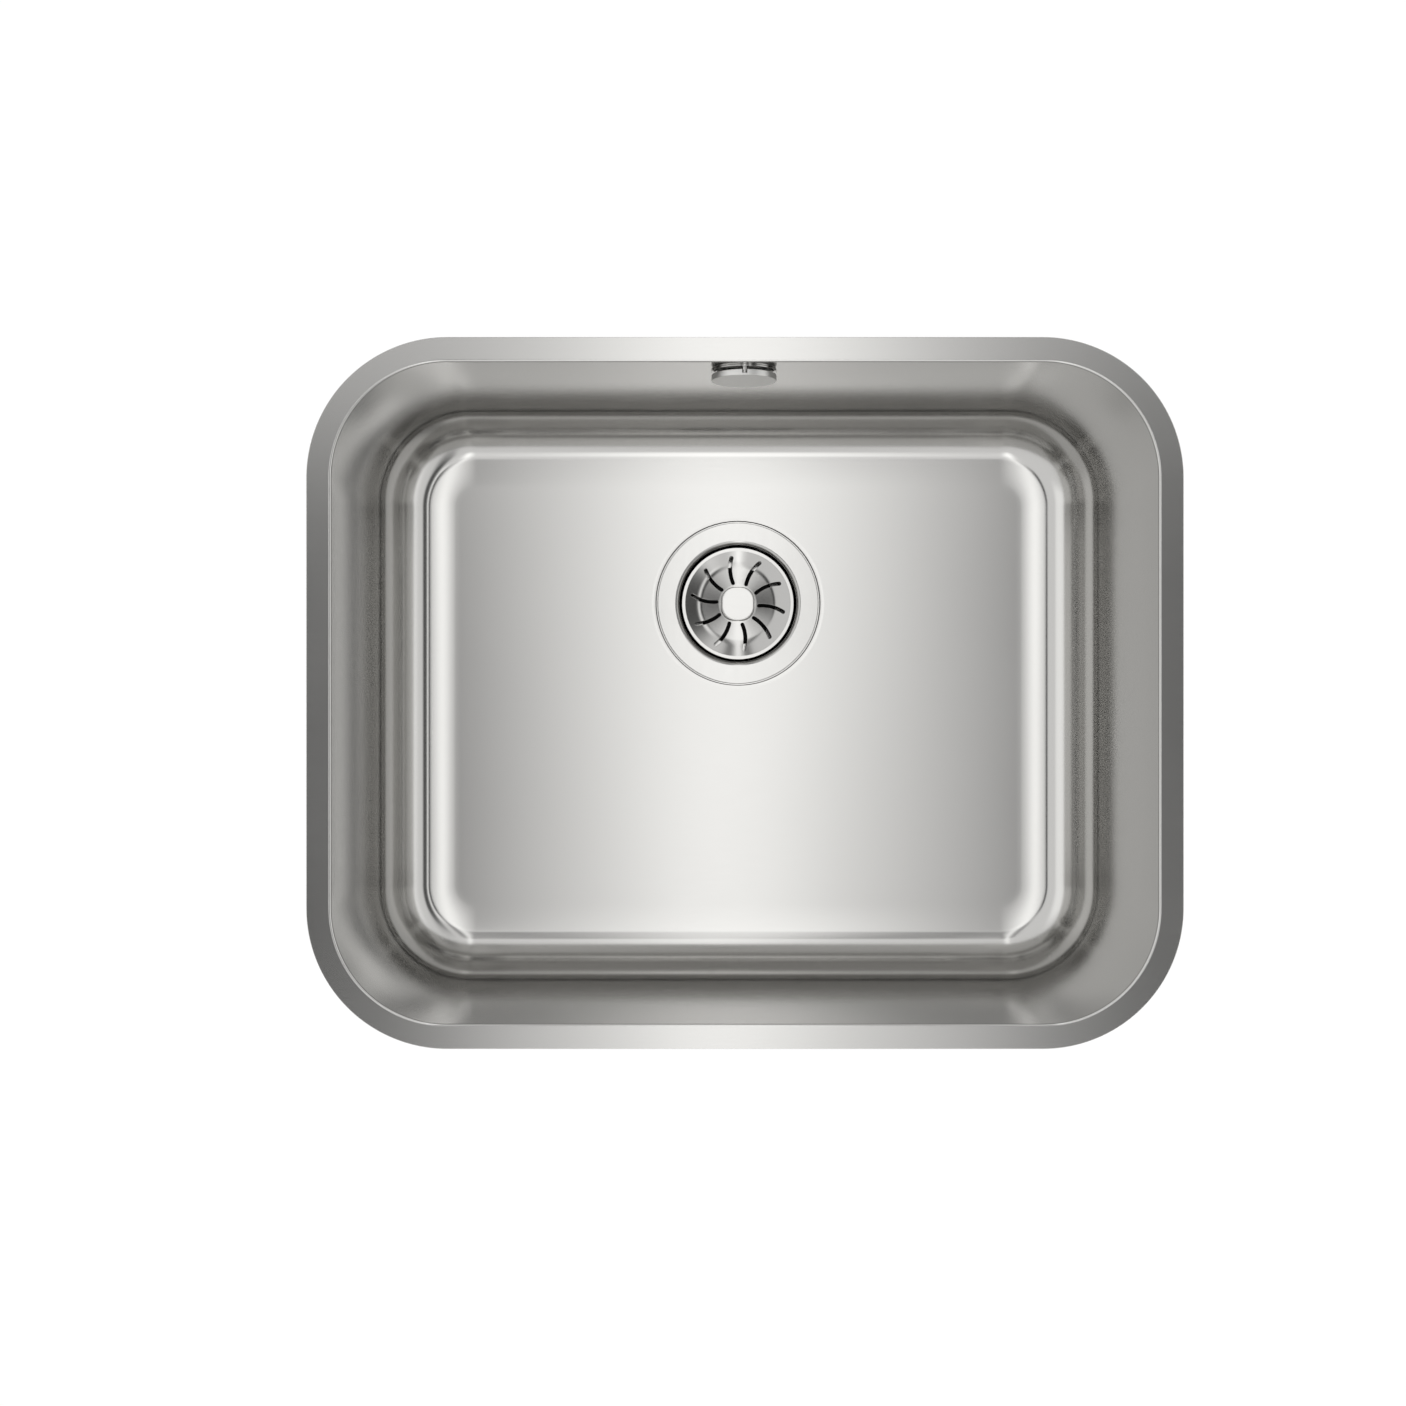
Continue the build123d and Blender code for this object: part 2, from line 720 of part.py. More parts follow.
with BuildPart() as hose_union_nut:
    union_start = branch_end_y - union_overlap
    union_end = branch_end_y + cone_washer_height + union_lip
    disc(branch_plane, union_r, union_start, union_end)
    with BuildSketch(branch_plane.offset(union_start)):
        with PolarLocations(union_r, union_rib_count):
            Circle(union_rib_r)
    extrude(amount=union_end - union_start)
    disc(branch_plane, branch_r + fit_gap, union_start, union_end - union_lip, mode=Mode.SUBTRACT)
    disc(branch_plane, hose_crest_r, union_end - union_lip, union_end, mode=Mode.SUBTRACT)
finish(hose_union_nut, "hose_union_nut")

with BuildPart() as hose_cone_washer:
    disc(
        branch_plane,
        branch_r,
        branch_end_y,
        branch_end_y + cone_washer_height,
        bore=hose_cuff_r + fit_gap,
    )
finish(hose_cone_washer, "hose_cone_washer")
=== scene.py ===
import math

import bmesh
import bpy
import numpy as np
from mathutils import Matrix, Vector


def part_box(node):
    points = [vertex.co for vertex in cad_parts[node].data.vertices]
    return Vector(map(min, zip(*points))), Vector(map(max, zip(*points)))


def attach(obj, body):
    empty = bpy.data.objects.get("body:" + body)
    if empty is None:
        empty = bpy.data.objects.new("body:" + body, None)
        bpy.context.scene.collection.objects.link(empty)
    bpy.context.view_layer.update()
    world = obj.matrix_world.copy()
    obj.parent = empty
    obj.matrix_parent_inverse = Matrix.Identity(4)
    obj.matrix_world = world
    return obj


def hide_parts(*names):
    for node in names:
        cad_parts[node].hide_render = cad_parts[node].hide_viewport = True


bl_info = {
    "name": "Undermount sink",
    "version": (1, 0, 0),
    "blender": (4, 5, 0),
    "location": "3D View > Sidebar > Sink",
    "description": "Dresses the undermount sink: pressed steel, waste, overflow, hose and stage",
    "category": "Object",
}

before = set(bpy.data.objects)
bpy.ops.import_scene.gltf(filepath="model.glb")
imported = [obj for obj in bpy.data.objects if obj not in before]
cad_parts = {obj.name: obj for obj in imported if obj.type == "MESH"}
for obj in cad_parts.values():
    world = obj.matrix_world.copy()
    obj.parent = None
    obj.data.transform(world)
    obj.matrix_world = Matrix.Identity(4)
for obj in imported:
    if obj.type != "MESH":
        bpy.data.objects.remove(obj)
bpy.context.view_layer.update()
MM = 0.001
FIT = 0.05 * MM  # Clearance round a shaft, a screw or a seal in its hole.
PHOTO_PIXELS = 1406


def middle(node):
    """The centre of a node's box."""
    low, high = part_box(node)
    return (low + high) / 2


def span(node):
    """Outer radius, bottom and top of a node that stands round an upright axis."""
    low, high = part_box(node)
    return (high.x - low.x) / 2, low.z, high.z


BOWL_LOW, BOWL_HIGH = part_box("bowl")
DRAIN_Y = middle("strainer_cup").y
BRANCH_Z = middle("hose_union_nut").z
HOSE_Y = middle("hose_clip").y


# ---- sizes and colours -------------------------------------------------------


def length(name, description, default):
    """A length property in metres, from a default in millimetres."""
    return bpy.props.FloatProperty(
        name=name, description=description, default=default * MM, min=0.0, unit="LENGTH",
        precision=4,
    )


def angle(name, description, default):
    """An angle property, from a default in degrees."""
    return bpy.props.FloatProperty(
        name=name, description=description, default=math.radians(default), subtype="ANGLE"
    )


def colour(name, description, default):
    """A colour property."""
    return bpy.props.FloatVectorProperty(
        name=name, description=description, default=default, size=3, min=0.0, max=1.0,
        subtype="COLOR",
    )


def share(name, description, default):
    """A plain number from 0 to 1."""
    return bpy.props.FloatProperty(
        name=name, description=description, default=default, min=0.0, max=1.0, subtype="FACTOR"
    )


def count(name, description, default):
    """A whole number."""
    return bpy.props.IntProperty(name=name, description=description, default=default, min=1)


class BowlSizes(bpy.types.PropertyGroup):
    """Sizes of the pressed bowl and its sound pads."""

    rim_length: length("Rim length", "Outside, left to right", (BOWL_HIGH.x - BOWL_LOW.x) / MM)
    rim_width: length("Rim width", "Outside, front to back", (BOWL_HIGH.y - BOWL_LOW.y) / MM)
    rim_corner: length("Rim corner", "Outside corner radius", 85)
    rim_flat: length("Rim flat", "Width of the flat rim", 15)
    rim_bend: length("Rim bend", "Radius where the rim turns down", 1.5)
    sheet: length("Sheet", "Steel thickness", 1.0)
    depth: length("Depth", "Rim to floor", 200)
    draft: angle("Draft", "Lean of the walls", 3.2)
    crease: angle("Crease", "Slope at which the floor starts to rise", 0.5)
    lead_radius: length("Lead radius", "Slow bend at the floor's edge", 180)
    lead_turn: angle("Lead turn", "Slope where the slow bend ends", 6)
    heel_radius: length("Heel radius", "Quick bend beyond it", 16)
    heel_turn: angle("Heel turn", "Slope where the quick bend ends", 30)
    sweep_radius: length("Sweep radius", "Bend up into the wall", 46)
    ledge_radius: length("Ledge radius", "Ledge round the waste hole", 56.7)
    ledge_drop: length("Ledge drop", "Floor to ledge", 2.4)
    hole_radius: length("Waste hole", "Radius of the waste hole", 45)
    overflow_hole: length("Overflow hole", "Radius of the overflow's hole", 17)
    overflow_drop: length("Overflow drop", "Rim to the overflow's axis", 26)
    pad_corner: length("Pad corner", "Corner radius of the sound pads", 12)
    pad_edge: length("Pad edge", "Rounding of the sound pads", 0.7)
    pad_thickness: length("Pad thickness", "Thickness of the sound pads", 2.5)
    wall_pad_length: length("Wall pad length", "Along the wall", 220)
    wall_pad_height: length("Wall pad height", "Up the wall", 86)
    wall_pad_drop: length("Wall pad drop", "Rim to the middle of a wall pad", 96)


class WasteSizes(bpy.types.PropertyGroup):
    """Sizes of the strainer cup, the waste body and what clamps them."""

    cup_radius: length("Cup radius", "Inside", 41)
    cup_mouth: length("Cup mouth", "Inside, where the flange turns down", 40.4)
    cup_lip: length("Cup lip", "Radius where the flange turns down", 3.0)
    cup_floor_fillet: length("Cup fillet", "Radius between the cup's wall and floor", 5)
    cup_sheet: length("Cup sheet", "Steel thickness", 1.0)
    cup_hole: length("Cup hole", "Radius of the holes in the cup's floor", 3.5)
    cup_hole_circle: length("Cup hole circle", "Circle of the holes", 16.5)
    cup_hole_count: count("Cup holes", "Holes in the cup's floor", 8)
    body_gap: length("Water way", "Between cup and body", 3.5)
    body_wall: length("Body wall", "Thickness of the waste body", 2.4)
    body_flange_height: length("Body flange", "Height of the body's top flange", 5)
    cone_height: length("Cone height", "Height of the body's cone", 24)
    outlet_radius: length("Outlet radius", "Outside of the outlet's thread", 23.9)
    outlet_bore: length("Outlet bore", "Radius of the outlet's bore", 20.2)
    thread_pitch: length("Thread pitch", "Outlet's thread", 2.309)
    thread_depth: length("Thread depth", "Outlet's thread", 1.2)
    hub_radius: length("Hub radius", "Hub in the body", 12.5)
    hub_height: length("Hub height", "Hub in the body", 19)
    hub_web: length("Hub web", "Thickness of the spokes", 3)
    branch_radius: length("Branch radius", "Overflow branch, outside", 12.5)
    branch_bore: length("Branch bore", "Overflow branch, inside", 8.5)
    screw_radius: length("Screw radius", "Hollow screw", 6)
    screw_bore: length("Screw bore", "Hollow screw", 4.1)
    screw_head: length("Screw head", "Radius of its head", 10)
    screw_head_height: length("Screw head height", "Height of its head", 2.6)
    screw_slot: length("Screw slot", "Width of its slot", 2.2)


class BasketSizes(bpy.types.PropertyGroup):
    """Sizes of the basket strainer, its knob and its plug."""

    sheet: length("Basket sheet", "Steel thickness", 0.8)
    rim_width: length("Basket rim", "Width of the flat rim", 2.2)
    rim_bend: length("Basket rim bend", "Radius inside the rim", 1.2)
    knee_radius: length("Knee radius", "Where the dish's slope eases", 27)
    knee_drop: length("Knee drop", "Rim to the knee", 2.6)
    knee_bend: length("Knee bend", "Rounding of the knee", 25)
    hub_radius: length("Hub radius", "Where the flat in the middle starts", 12)
    hub_drop: length("Hub drop", "Rim to the flat in the middle", 3.8)
    hub_bend: length("Hub bend", "Rounding where the flat starts", 40)
    slot_count: count("Slots", "Swirled slots", 10)
    slot_width: length("Slot width", "Width of a slot", 2.6)
    slot_inner: length("Slot start", "Radius where a slot starts", 14.7)
    slot_middle: length("Slot middle", "Radius of a slot's middle", 23)
    slot_outer: length("Slot end", "Radius where a slot ends", 31.9)
    slot_inner_turn: angle("Slot start turn", "Turn where a slot starts", -5.3)
    slot_middle_turn: angle("Slot middle turn", "Turn of a slot's middle", -4.9)
    slot_outer_turn: angle("Slot end turn", "Turn where a slot ends", -10.2)
    knob_side: length("Knob side", "Side of the rounded square", 23)
    knob_corner: length("Knob corner", "Its corner radius", 9.5)
    knob_cap: length("Knob cap", "Height of its head", 3.2)
    knob_neck: length("Knob neck", "Radius of its neck", 7.5)
    knob_edge: length("Knob edge", "Rounding of its top", 0.6)
    stem_radius: length("Stem radius", "Stem of the basket", 3)
    stem_collar: length("Stem collar", "Radius of its shoulder", 5)
    seal_plate: length("Plug plate", "Thickness of the plug seal", 3)
    seal_skirt: length("Plug skirt", "Width of its skirt", 4)
    catch_mouth: angle("Catch mouth", "Opening of the catch ring", 60)


class OverflowSizes(bpy.types.PropertyGroup):
    """Sizes of the overflow and its hose."""

    base_radius: length("Base radius", "Base ring, outside", 20)
    base_bore: length("Base bore", "Base ring, inside", 14.5)
    base_height: length("Base height", "Thickness of the base ring", 1)
    base_boss: length("Base boss", "Middle of the base", 6)
    base_arm: length("Base arm", "Width of its arms", 4)
    cover_gap: length("Cover gap", "Base ring to cover", 1.9)
    cover_radius: length("Cover radius", "Outside", 20)
    cover_depth: length("Cover depth", "Height of its edge", 3.8)
    cover_wall: length("Cover wall", "Steel thickness", 1.2)
    cover_edge: length("Cover edge", "Rounding of its edges", 0.4)
    cover_boss: length("Cover boss", "Radius of the bosses inside", 2.6)
    peg_radius: length("Peg radius", "Pegs that carry the cover", 1.5)
    peg_circle: length("Peg circle", "Circle of the pegs", 17.2)
    peg_count: count("Pegs", "Pegs that carry the cover", 3)
    peg_grip: length("Peg grip", "Length of a peg inside the cover", 2.2)
    screw_radius: length("Screw radius", "Overflow screw", 2.5)
    screw_length: length("Screw length", "Below its head", 13)
    screw_head: length("Screw head", "Radius of its head", 4.6)
    screw_head_height: length("Screw head height", "Height of its head", 2.6)
    seal_height: length("Seal height", "Seal behind the wall", 2)
    elbow_flange: length("Elbow flange", "Radius of the elbow's flange", 22)
    elbow_flange_height: length("Elbow flange height", "Its thickness", 2.6)
    elbow_radius: length("Elbow radius", "Outside of the elbow", 17)
    elbow_depth: length("Elbow depth", "Seal to the elbow's back", 13.5)
    elbow_wall: length("Elbow wall", "Thickness", 2)
    elbow_post: length("Elbow post", "Post that the screw enters", 4.6)
    collar_radius: length("Collar radius", "Collar above the hose", 9)
    collar_height: length("Collar height", "Collar above the hose", 16)
    spigot_length: length("Spigot length", "In the hose", 18)
    spigot_wall: length("Spigot wall", "Thickness", 1.5)
    hose_bore: length("Hose bore", "Inside radius", 7.6)
    hose_root: length("Hose root", "Radius between the ribs", 8.8)
    hose_crest: length("Hose crest", "Radius over the ribs", 10.5)
    hose_cuff: length("Hose cuff", "Plain stretch at each end", 22)
    hose_cuff_radius: length("Cuff radius", "Radius of the plain stretches", 10)
    hose_bend: length("Hose bend", "Radius of its bend", 60)
    rib_pitch: length("Rib pitch", "From one rib to the next", 4)
    clip_band: length("Clip band", "Thickness of the clip's band", 0.8)
    clip_width: length("Clip width", "Width of the clip's band", 9)
    clip_house: length("Clip house", "Size of the clip's housing", 7)
    union_radius: length("Union radius", "Union nut, outside", 16.5)
    union_rib: length("Union rib", "Radius of its ribs", 1)
    union_ribs: count("Union ribs", "Ribs round the union nut", 12)
    union_lip: length("Union lip", "Thickness of its end", 2.2)


class Finishes(bpy.types.PropertyGroup):
    """Colours and gloss of the materials."""

    steel: colour("Steel", "Stainless steel", (0.505, 0.5, 0.487))
    satin: share("Satin", "Roughness of the bowl", 0.15)
    polish: share("Polish", "Roughness of polished steel", 0.12)
    rubber: colour("Rubber", "Seals", (0.018, 0.018, 0.019))
    pad: colour("Pad", "Sound pads", (0.085, 0.087, 0.092))
    plastic: colour("Plastic", "Waste body and elbow", (0.62, 0.62, 0.605))
    nut: colour("Nut", "Union nut", (0.53, 0.53, 0.52))
    hose: colour("Hose", "Ribbed hose", (0.48, 0.487, 0.487))
    brass: colour("Brass", "Nut in the hub", (0.78, 0.56, 0.24))


class StageValues(bpy.types.PropertyGroup):
    """Camera, floor and light."""

    camera_height: length("Camera height", "Above the rim", 1408)
    camera_x: bpy.props.FloatProperty(name="Camera X", default=-33.8 * MM, unit="LENGTH")
    camera_y: bpy.props.FloatProperty(name="Camera Y", default=-13.3 * MM, unit="LENGTH")
    frame_width: length("Frame width", "What the frame spans at the rim", 849)
    axis_right: bpy.props.FloatProperty(name="Axis right", default=-14.0)
    axis_down: bpy.props.FloatProperty(name="Axis down", default=12.0)
    floor_drop: length("Floor drop", "Rim to the floor under the sink", 750)
    room: bpy.props.FloatProperty(name="Room", description="Radiance behind the panels", default=1.08)


# ---- shapes --------------------------------------------------------------------


def rounded_line(corners, radii, closed=False, step=4):
    """A line of straight runs with its corners rounded.

    Each corner P with radius R, between the directions a (in) and b (out), is cut
    back by R tan(t / 2), t being the turn, and the arc between the two cuts is
    sampled about the centre that lies R to the inner side, about every step
    degrees. Returns an (n, 2) array.
    """
    corners = np.asarray(corners, float)
    total = len(corners)
    step = math.radians(step)
    points = []
    for i in range(total):
        here = corners[i]
        radius = radii[i]
        if radius <= 0 or (not closed and i in (0, total - 1)):
            points.append(here[None])
            continue
        into = here - corners[i - 1]
        out = corners[(i + 1) % total] - here
        into = into / np.hypot(*into)
        out = out / np.hypot(*out)
        turn = math.atan2(into[0] * out[1] - into[1] * out[0], float(into @ out))
        if abs(turn) < 1e-6:
            points.append(here[None])
            continue
        side = math.copysign(1.0, turn)
        start = here - into * radius * math.tan(abs(turn) / 2)
        centre = start + side * radius * np.array([-into[1], into[0]])
        angles = np.linspace(0.0, turn, max(3, int(abs(turn) / step) + 1) + 1)
        spoke = start - centre
        cos, sin = np.cos(angles), np.sin(angles)
        points.append(
            centre + np.stack([cos * spoke[0] - sin * spoke[1], sin * spoke[0] + cos * spoke[1]], 1)
        )
    return np.concatenate(points)


def section(step, *corners):
    """A closed line through corners (x, y) or (x, y, radius of the rounding)."""
    radii = [corner[2] if len(corner) > 2 else 0 for corner in corners]
    return rounded_line([corner[:2] for corner in corners], radii, closed=True, step=step)


def tube(bore, radius, low, high, edge):
    """The closed section of a ring, every corner eased by one radius."""
    return section(
        22, (bore, low, edge), (radius, low, edge), (radius, high, edge), (bore, high, edge)
    )


def divided(line, longest, closed=False, where=None):
    """The same line with its runs split so that no piece is longer than longest.

    Where a test is given, only runs whose middle passes it are split.
    """
    ends = np.concatenate([line, line[:1]]) if closed else line
    pieces = [ends[:1]]
    for a, b in zip(ends[:-1], ends[1:]):
        n = max(1, int(math.ceil(np.hypot(*(b - a)) / longest)))
        if where and not where(*((a + b) / 2)):
            n = 1
        pieces.append(a + (b - a) * (np.arange(1, n + 1) / n)[:, None])
    points = np.concatenate(pieces)
    return points[:-1] if closed else points


def guarded(line, least, closed=False, reach=0.12 * MM):
    """The same line with a point close to each end of every run longer than least.

    The shading of a bend then stops there, and the run between stays plain.
    """
    ends = np.concatenate([line, line[:1]]) if closed else line
    points = [ends[:1]]
    for a, b in zip(ends[:-1], ends[1:]):
        size = np.hypot(*(b - a))
        if size > least:
            points.append(a + (b - a) * np.array([[reach / size], [1 - reach / size]]))
        points.append(b[None])
    points = np.concatenate(points)
    return points[:-1] if closed else points


def offset_line(line, distance):
    """The line moved to its left by distance, along the mean normal at each point."""
    run = np.diff(line, axis=0)
    run /= np.linalg.norm(run, axis=1)[:, None]
    before = np.concatenate([run[:1], run])
    after = np.concatenate([run, run[-1:]])
    normal_before = np.stack([-before[:, 1], before[:, 0]], 1)
    normal_after = np.stack([-after[:, 1], after[:, 0]], 1)
    mean = normal_before + normal_after
    mean /= (mean * normal_after).sum(1)[:, None]
    return line + distance * mean


def pressed_outline(line, thickness, edge):
    """The closed outline of a sheet that lies to the left of a line, edges eased."""
    ring = np.concatenate([line, offset_line(line, thickness)[::-1]])
    ends = {0, len(line) - 1, len(line), len(ring) - 1}
    radii = [edge if i in ends else 0.0 for i in range(len(ring))]
    return rounded_line(ring, radii, closed=True, step=30)


def make_mesh(name, points, faces):
    """A smooth mesh object from an array of points and a list or array of faces."""
    mesh = bpy.data.meshes.new(name)
    faces = faces.tolist() if isinstance(faces, np.ndarray) else faces
    mesh.from_pydata(np.asarray(points).reshape(-1, 3).tolist(), [], faces)
    mesh.validate()
    mesh.shade_smooth()
    piece = bpy.data.objects.new(name, mesh)
    bpy.context.scene.collection.objects.link(piece)
    return piece


def grid_faces(rows, columns, wrap_rows, wrap_columns):
    """The quads of a grid whose point (i, j) is number i * columns + j."""
    i = np.arange(rows if wrap_rows else rows - 1)
    j = np.arange(columns if wrap_columns else columns - 1)
    i, j = np.meshgrid(i, j, indexing="ij")
    i_next, j_next = (i + 1) % rows, (j + 1) % columns
    quads = np.stack(
        [i * columns + j, i * columns + j_next, i_next * columns + j_next, i_next * columns + j],
        -1,
    )
    return quads.reshape(-1, 4)


def tidy_mesh(piece, merge=1e-6, sharp=35.0):
    """Merges coinciding points, drops empty faces and turns all faces outwards."""
    work = bmesh.new()
    work.from_mesh(piece.data)
    bmesh.ops.remove_doubles(work, verts=work.verts, dist=merge)
    bmesh.ops.dissolve_degenerate(work, dist=merge, edges=work.edges)
    stray = [edge for edge in work.edges if not edge.link_faces]
    bmesh.ops.delete(work, geom=stray, context="EDGES")
    bmesh.ops.recalc_face_normals(work, faces=work.faces)
    work.to_mesh(piece.data)
    work.free()
    piece.data.shade_smooth()
    piece.data.set_sharp_from_angle(angle=math.radians(sharp))
    return piece


def turned(name, outline, place, sides=128, sharp=35.0):
    """A closed outline of (radius, height) points turned about an axis.

    A point is place(radius cos a, radius sin a, height), a going once round.
    """
    outline = guarded(np.asarray(outline, float), 0.8 * MM, True)
    bearing = np.arange(sides) * 2 * np.pi / sides
    radius = outline[:, 0][:, None]
    x = radius * np.cos(bearing)
    y = radius * np.sin(bearing)
    z = np.broadcast_to(outline[:, 1][:, None], x.shape)
    points = place(np.stack([x, y, z], -1))
    piece = make_mesh(name, points, grid_faces(len(outline), sides, True, True))
    return tidy_mesh(piece, sharp=sharp)


def capped(rings, n):
    """The faces of a row of rings of n points each, closed by a face at both ends."""
    faces = grid_faces(rings, n, False, True).tolist()
    return faces + [list(range(n))[::-1], list(range((rings - 1) * n, rings * n))]


def prism(name, loop, low, high, place, taper=None):
    """A closed loop of (x, y) points drawn out from one height to another.

    Where an edge radius is given, both ends are rounded by it: ring k of the
    rounding goes in by r (1 - sin b) and along by r (1 - cos b).
    """
    loop = np.asarray(loop)
    rows = [(0.0, low), (0.0, high)]
    if taper:
        bend = np.linspace(0, np.pi / 2, 4)
        start = [(taper * (1 - np.sin(b)), low + taper * (1 - np.cos(b))) for b in bend]
        end = [(taper * (1 - np.sin(b)), high - taper * (1 - np.cos(b))) for b in bend[::-1]]
        inside = taper + 0.12 * MM
        rows = [(inside, low), *start, *end, (inside, high)]
    closed = np.concatenate([loop[-1:], loop, loop[:1]])
    inwards = offset_line(closed, 1.0)[1:-1] - loop
    rings = [np.column_stack([loop + inwards * d, np.full(len(loop), z)]) for d, z in rows]
    return tidy_mesh(make_mesh(name, place(np.concatenate(rings)), capped(len(rings), len(loop))))


def drum(name, radius, low, high, place, sides=128):
    """A solid cylinder turned about an axis, used to cut a bore."""
    return turned(name, [(0, low), (radius, low), (radius, high), (0, high)], place, sides)


def circle(radius, sides=48, centre=(0.0, 0.0)):
    """A loop of points round a circle."""
    bearing = np.arange(sides) * 2 * np.pi / sides
    return np.stack([radius * np.cos(bearing), radius * np.sin(bearing)], 1) + np.array(centre)


def peg(name, radius, low, high, place, centre=(0.0, 0.0), sides=48):
    """A plain cylinder beside an axis, used to cut a hole or to fill one."""
    return prism(name, circle(radius, sides, centre), low, high, place)


def rectangle(width, height, corner=0.0, centre=(0.0, 0.0)):
    """A loop of points round a rectangle with rounded corners."""
    a, b = width / 2, height / 2
    corners = np.array([[a, -b], [a, b], [-a, b], [-a, -b]])
    return rounded_line(corners, [corner] * 4, closed=True, step=10) + centre


def hexagon(flats, corner):
    """A loop of points round a hexagon with slightly rounded corners."""
    bearing = np.arange(6) * np.pi / 3
    radius = flats / math.sqrt(3)
    corners = radius * np.stack([np.cos(bearing), np.sin(bearing)], 1)
    return rounded_line(corners, [corner] * 6, closed=True, step=15)


def turned_by(loop, turn):
    """A loop turned about the origin."""
    cos, sin = math.cos(turn), math.sin(turn)
    return loop @ np.array([[cos, sin], [-sin, cos]])


def combined(piece, others, operation="DIFFERENCE", sharp=35.0):
    """Adds the others to the piece or takes them out of it, and deletes them."""
    for other in others:
        modifier = piece.modifiers.new("combine", "BOOLEAN")
        modifier.operation = operation
        modifier.solver = "EXACT"
        modifier.object = other
        bpy.context.view_layer.objects.active = piece
        bpy.ops.object.modifier_apply(modifier=modifier.name)
        mesh = other.data
        bpy.data.objects.remove(other)
        bpy.data.meshes.remove(mesh)
    piece.data.shade_smooth()
    piece.data.set_sharp_from_angle(angle=math.radians(sharp))
    return piece


def joined(piece, others):
    """Puts the meshes of the others into the piece as further shells."""
    work = bmesh.new()
    for part in (piece, *others):
        work.from_mesh(part.data)
    work.to_mesh(piece.data)
    work.free()
    for other in others:
        mesh = other.data
        bpy.data.objects.remove(other)
        bpy.data.meshes.remove(mesh)
    piece.data.shade_smooth()
    piece.data.set_sharp_from_angle(angle=math.radians(35))
    return piece


def threaded(place, radius, low, high, pitch, depth):
    """Presses a thread into the outside of a turned piece before it is placed.

    Between low and high, points at the outer radius go in by depth times a
    triangle wave of z / pitch - angle / 2 pi, which fades out over half a pitch.
    """

    def placed(points):
        x, y, z = np.moveaxis(points, -1, 0)
        reach = np.maximum(np.hypot(x, y), 1e-9)
        phase = z / pitch - np.arctan2(y, x) / (2 * np.pi)
        wave = np.abs(2 * (phase - np.floor(phase)) - 1)
        fade = np.clip((z - low) / pitch, 0, 1) * np.clip((high - z) / pitch, 0, 1)
        outside = reach > radius - 1e-5
        scale = 1 - depth * np.clip(1.25 * wave - 0.1, 0, 1) * fade * outside / reach
        return place(np.stack([x * scale, y * scale, z], -1))

    return placed


def about_drain(points):
    """Points about the drain axis, put in the sink's frame."""
    return points + np.array([0.0, DRAIN_Y, 0.0])


def about_hose(points):
    """Points about the hose's upright axis, put in the sink's frame."""
    return points + np.array([0.0, HOSE_Y, 0.0])


def about_branch(points):
    """Points about the overflow branch, whose axis runs along the sink's Y."""
    x, y, z = np.moveaxis(points, -1, 0)
    return np.stack([-x, z, y + BRANCH_Z], -1)


def dress(piece, node, body, finish):
    """Puts a piece in a node's place: it rides and gets its finish."""
    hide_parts(node)
    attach(piece, body)
    piece.data.materials.clear()
    piece.data.materials.append(finish)


# ---- bowl ----------------------------------------------------------------------


def rounded_rectangle(long, wide, radius, straight=48, corner=40):
    """The centres and normals that a rounded rectangle is pushed out from.

    The centres run round the rectangle of corner centres, and the normal turns a
    quarter at each of its corners, so ring = centre + radius * normal.
    """
    a, b = long / 2 - radius, wide / 2 - radius
    turn = np.linspace(0, np.pi / 2, corner + 1)
    run = np.linspace(0, 1, straight + 1)[1:-1, None]
    corners = np.array([[a, b], [-a, b], [-a, -b], [a, -b]])
    centres, normals = [], []
    for i in range(4):
        bearing = turn + i * np.pi / 2
        centres.append(np.repeat(corners[i][None], corner + 1, 0))
        normals.append(np.stack([np.cos(bearing), np.sin(bearing)], 1))
        ahead = corners[(i + 1) % 4]
        centres.append(corners[i] + (ahead - corners[i]) * run)
        normals.append(np.repeat(normals[-1][-1:], straight - 1, 0))
    return np.concatenate(centres), np.concatenate(normals)


def overflow_place(sizes):
    """Puts points of the overflow's plane in the sink's frame.

    The plane's x is the sink's, its y runs up the back wall, and its z points out
    of the wall into the bowl.
    """
    lean = sizes.draft
    wall_y = sizes.rim_width / 2 - sizes.rim_flat - sizes.overflow_drop * math.tan(lean)
    origin = np.array([0.0, wall_y, -sizes.overflow_drop])
    along = np.array(
        [
            [1.0, 0.0, 0.0],
            [0.0, math.sin(lean), math.cos(lean)],
            [0.0, -math.cos(lean), math.sin(lean)],
        ]
    )
    return lambda points: points @ along + origin


def wall_line(s, piece):
    """The bowl's section from the rim's edge to the floor's flat, as (offset, height).

    Offsets are measured outwards from the mouth. From the floor the section rises
    by arcs: an arc of radius R from slope t0 to t1 goes out by R (sin t1 - sin t0)
    and up by R (cos t0 - cos t1). The last one ends on the leaning wall. An arc is
    cut into pieces of about the given length.
    """
    slopes = [s.crease, s.lead_turn, s.heel_turn, math.pi / 2 - s.draft]
    out, up = np.zeros(1), np.zeros(1)
    for radius, start, end in zip(
        (s.lead_radius, s.heel_radius, s.sweep_radius), slopes[:-1], slopes[1:]
    ):
        t = np.linspace(start, end, max(8, round(radius * (end - start) / piece)) + 1)[1:]
        out = np.append(out, out[-1] + radius * (np.sin(t) - math.sin(start)))
        up = np.append(up, up[-1] + radius * (math.cos(start) - np.cos(t)))
    foot = -(s.depth - up[-1]) * math.tan(s.draft)
    rise = np.column_stack([out - out[-1] + foot, up - s.depth])[::-1]
    rim = rounded_line([(s.rim_flat, 0), (0, 0), rise[0]], [0, s.rim_bend, 0], step=8)
    flat = rise[-1:] - np.array([[3 * MM, 0.0]])
    return divided(np.concatenate([rim[:-1], rise, flat]), 12 * MM)


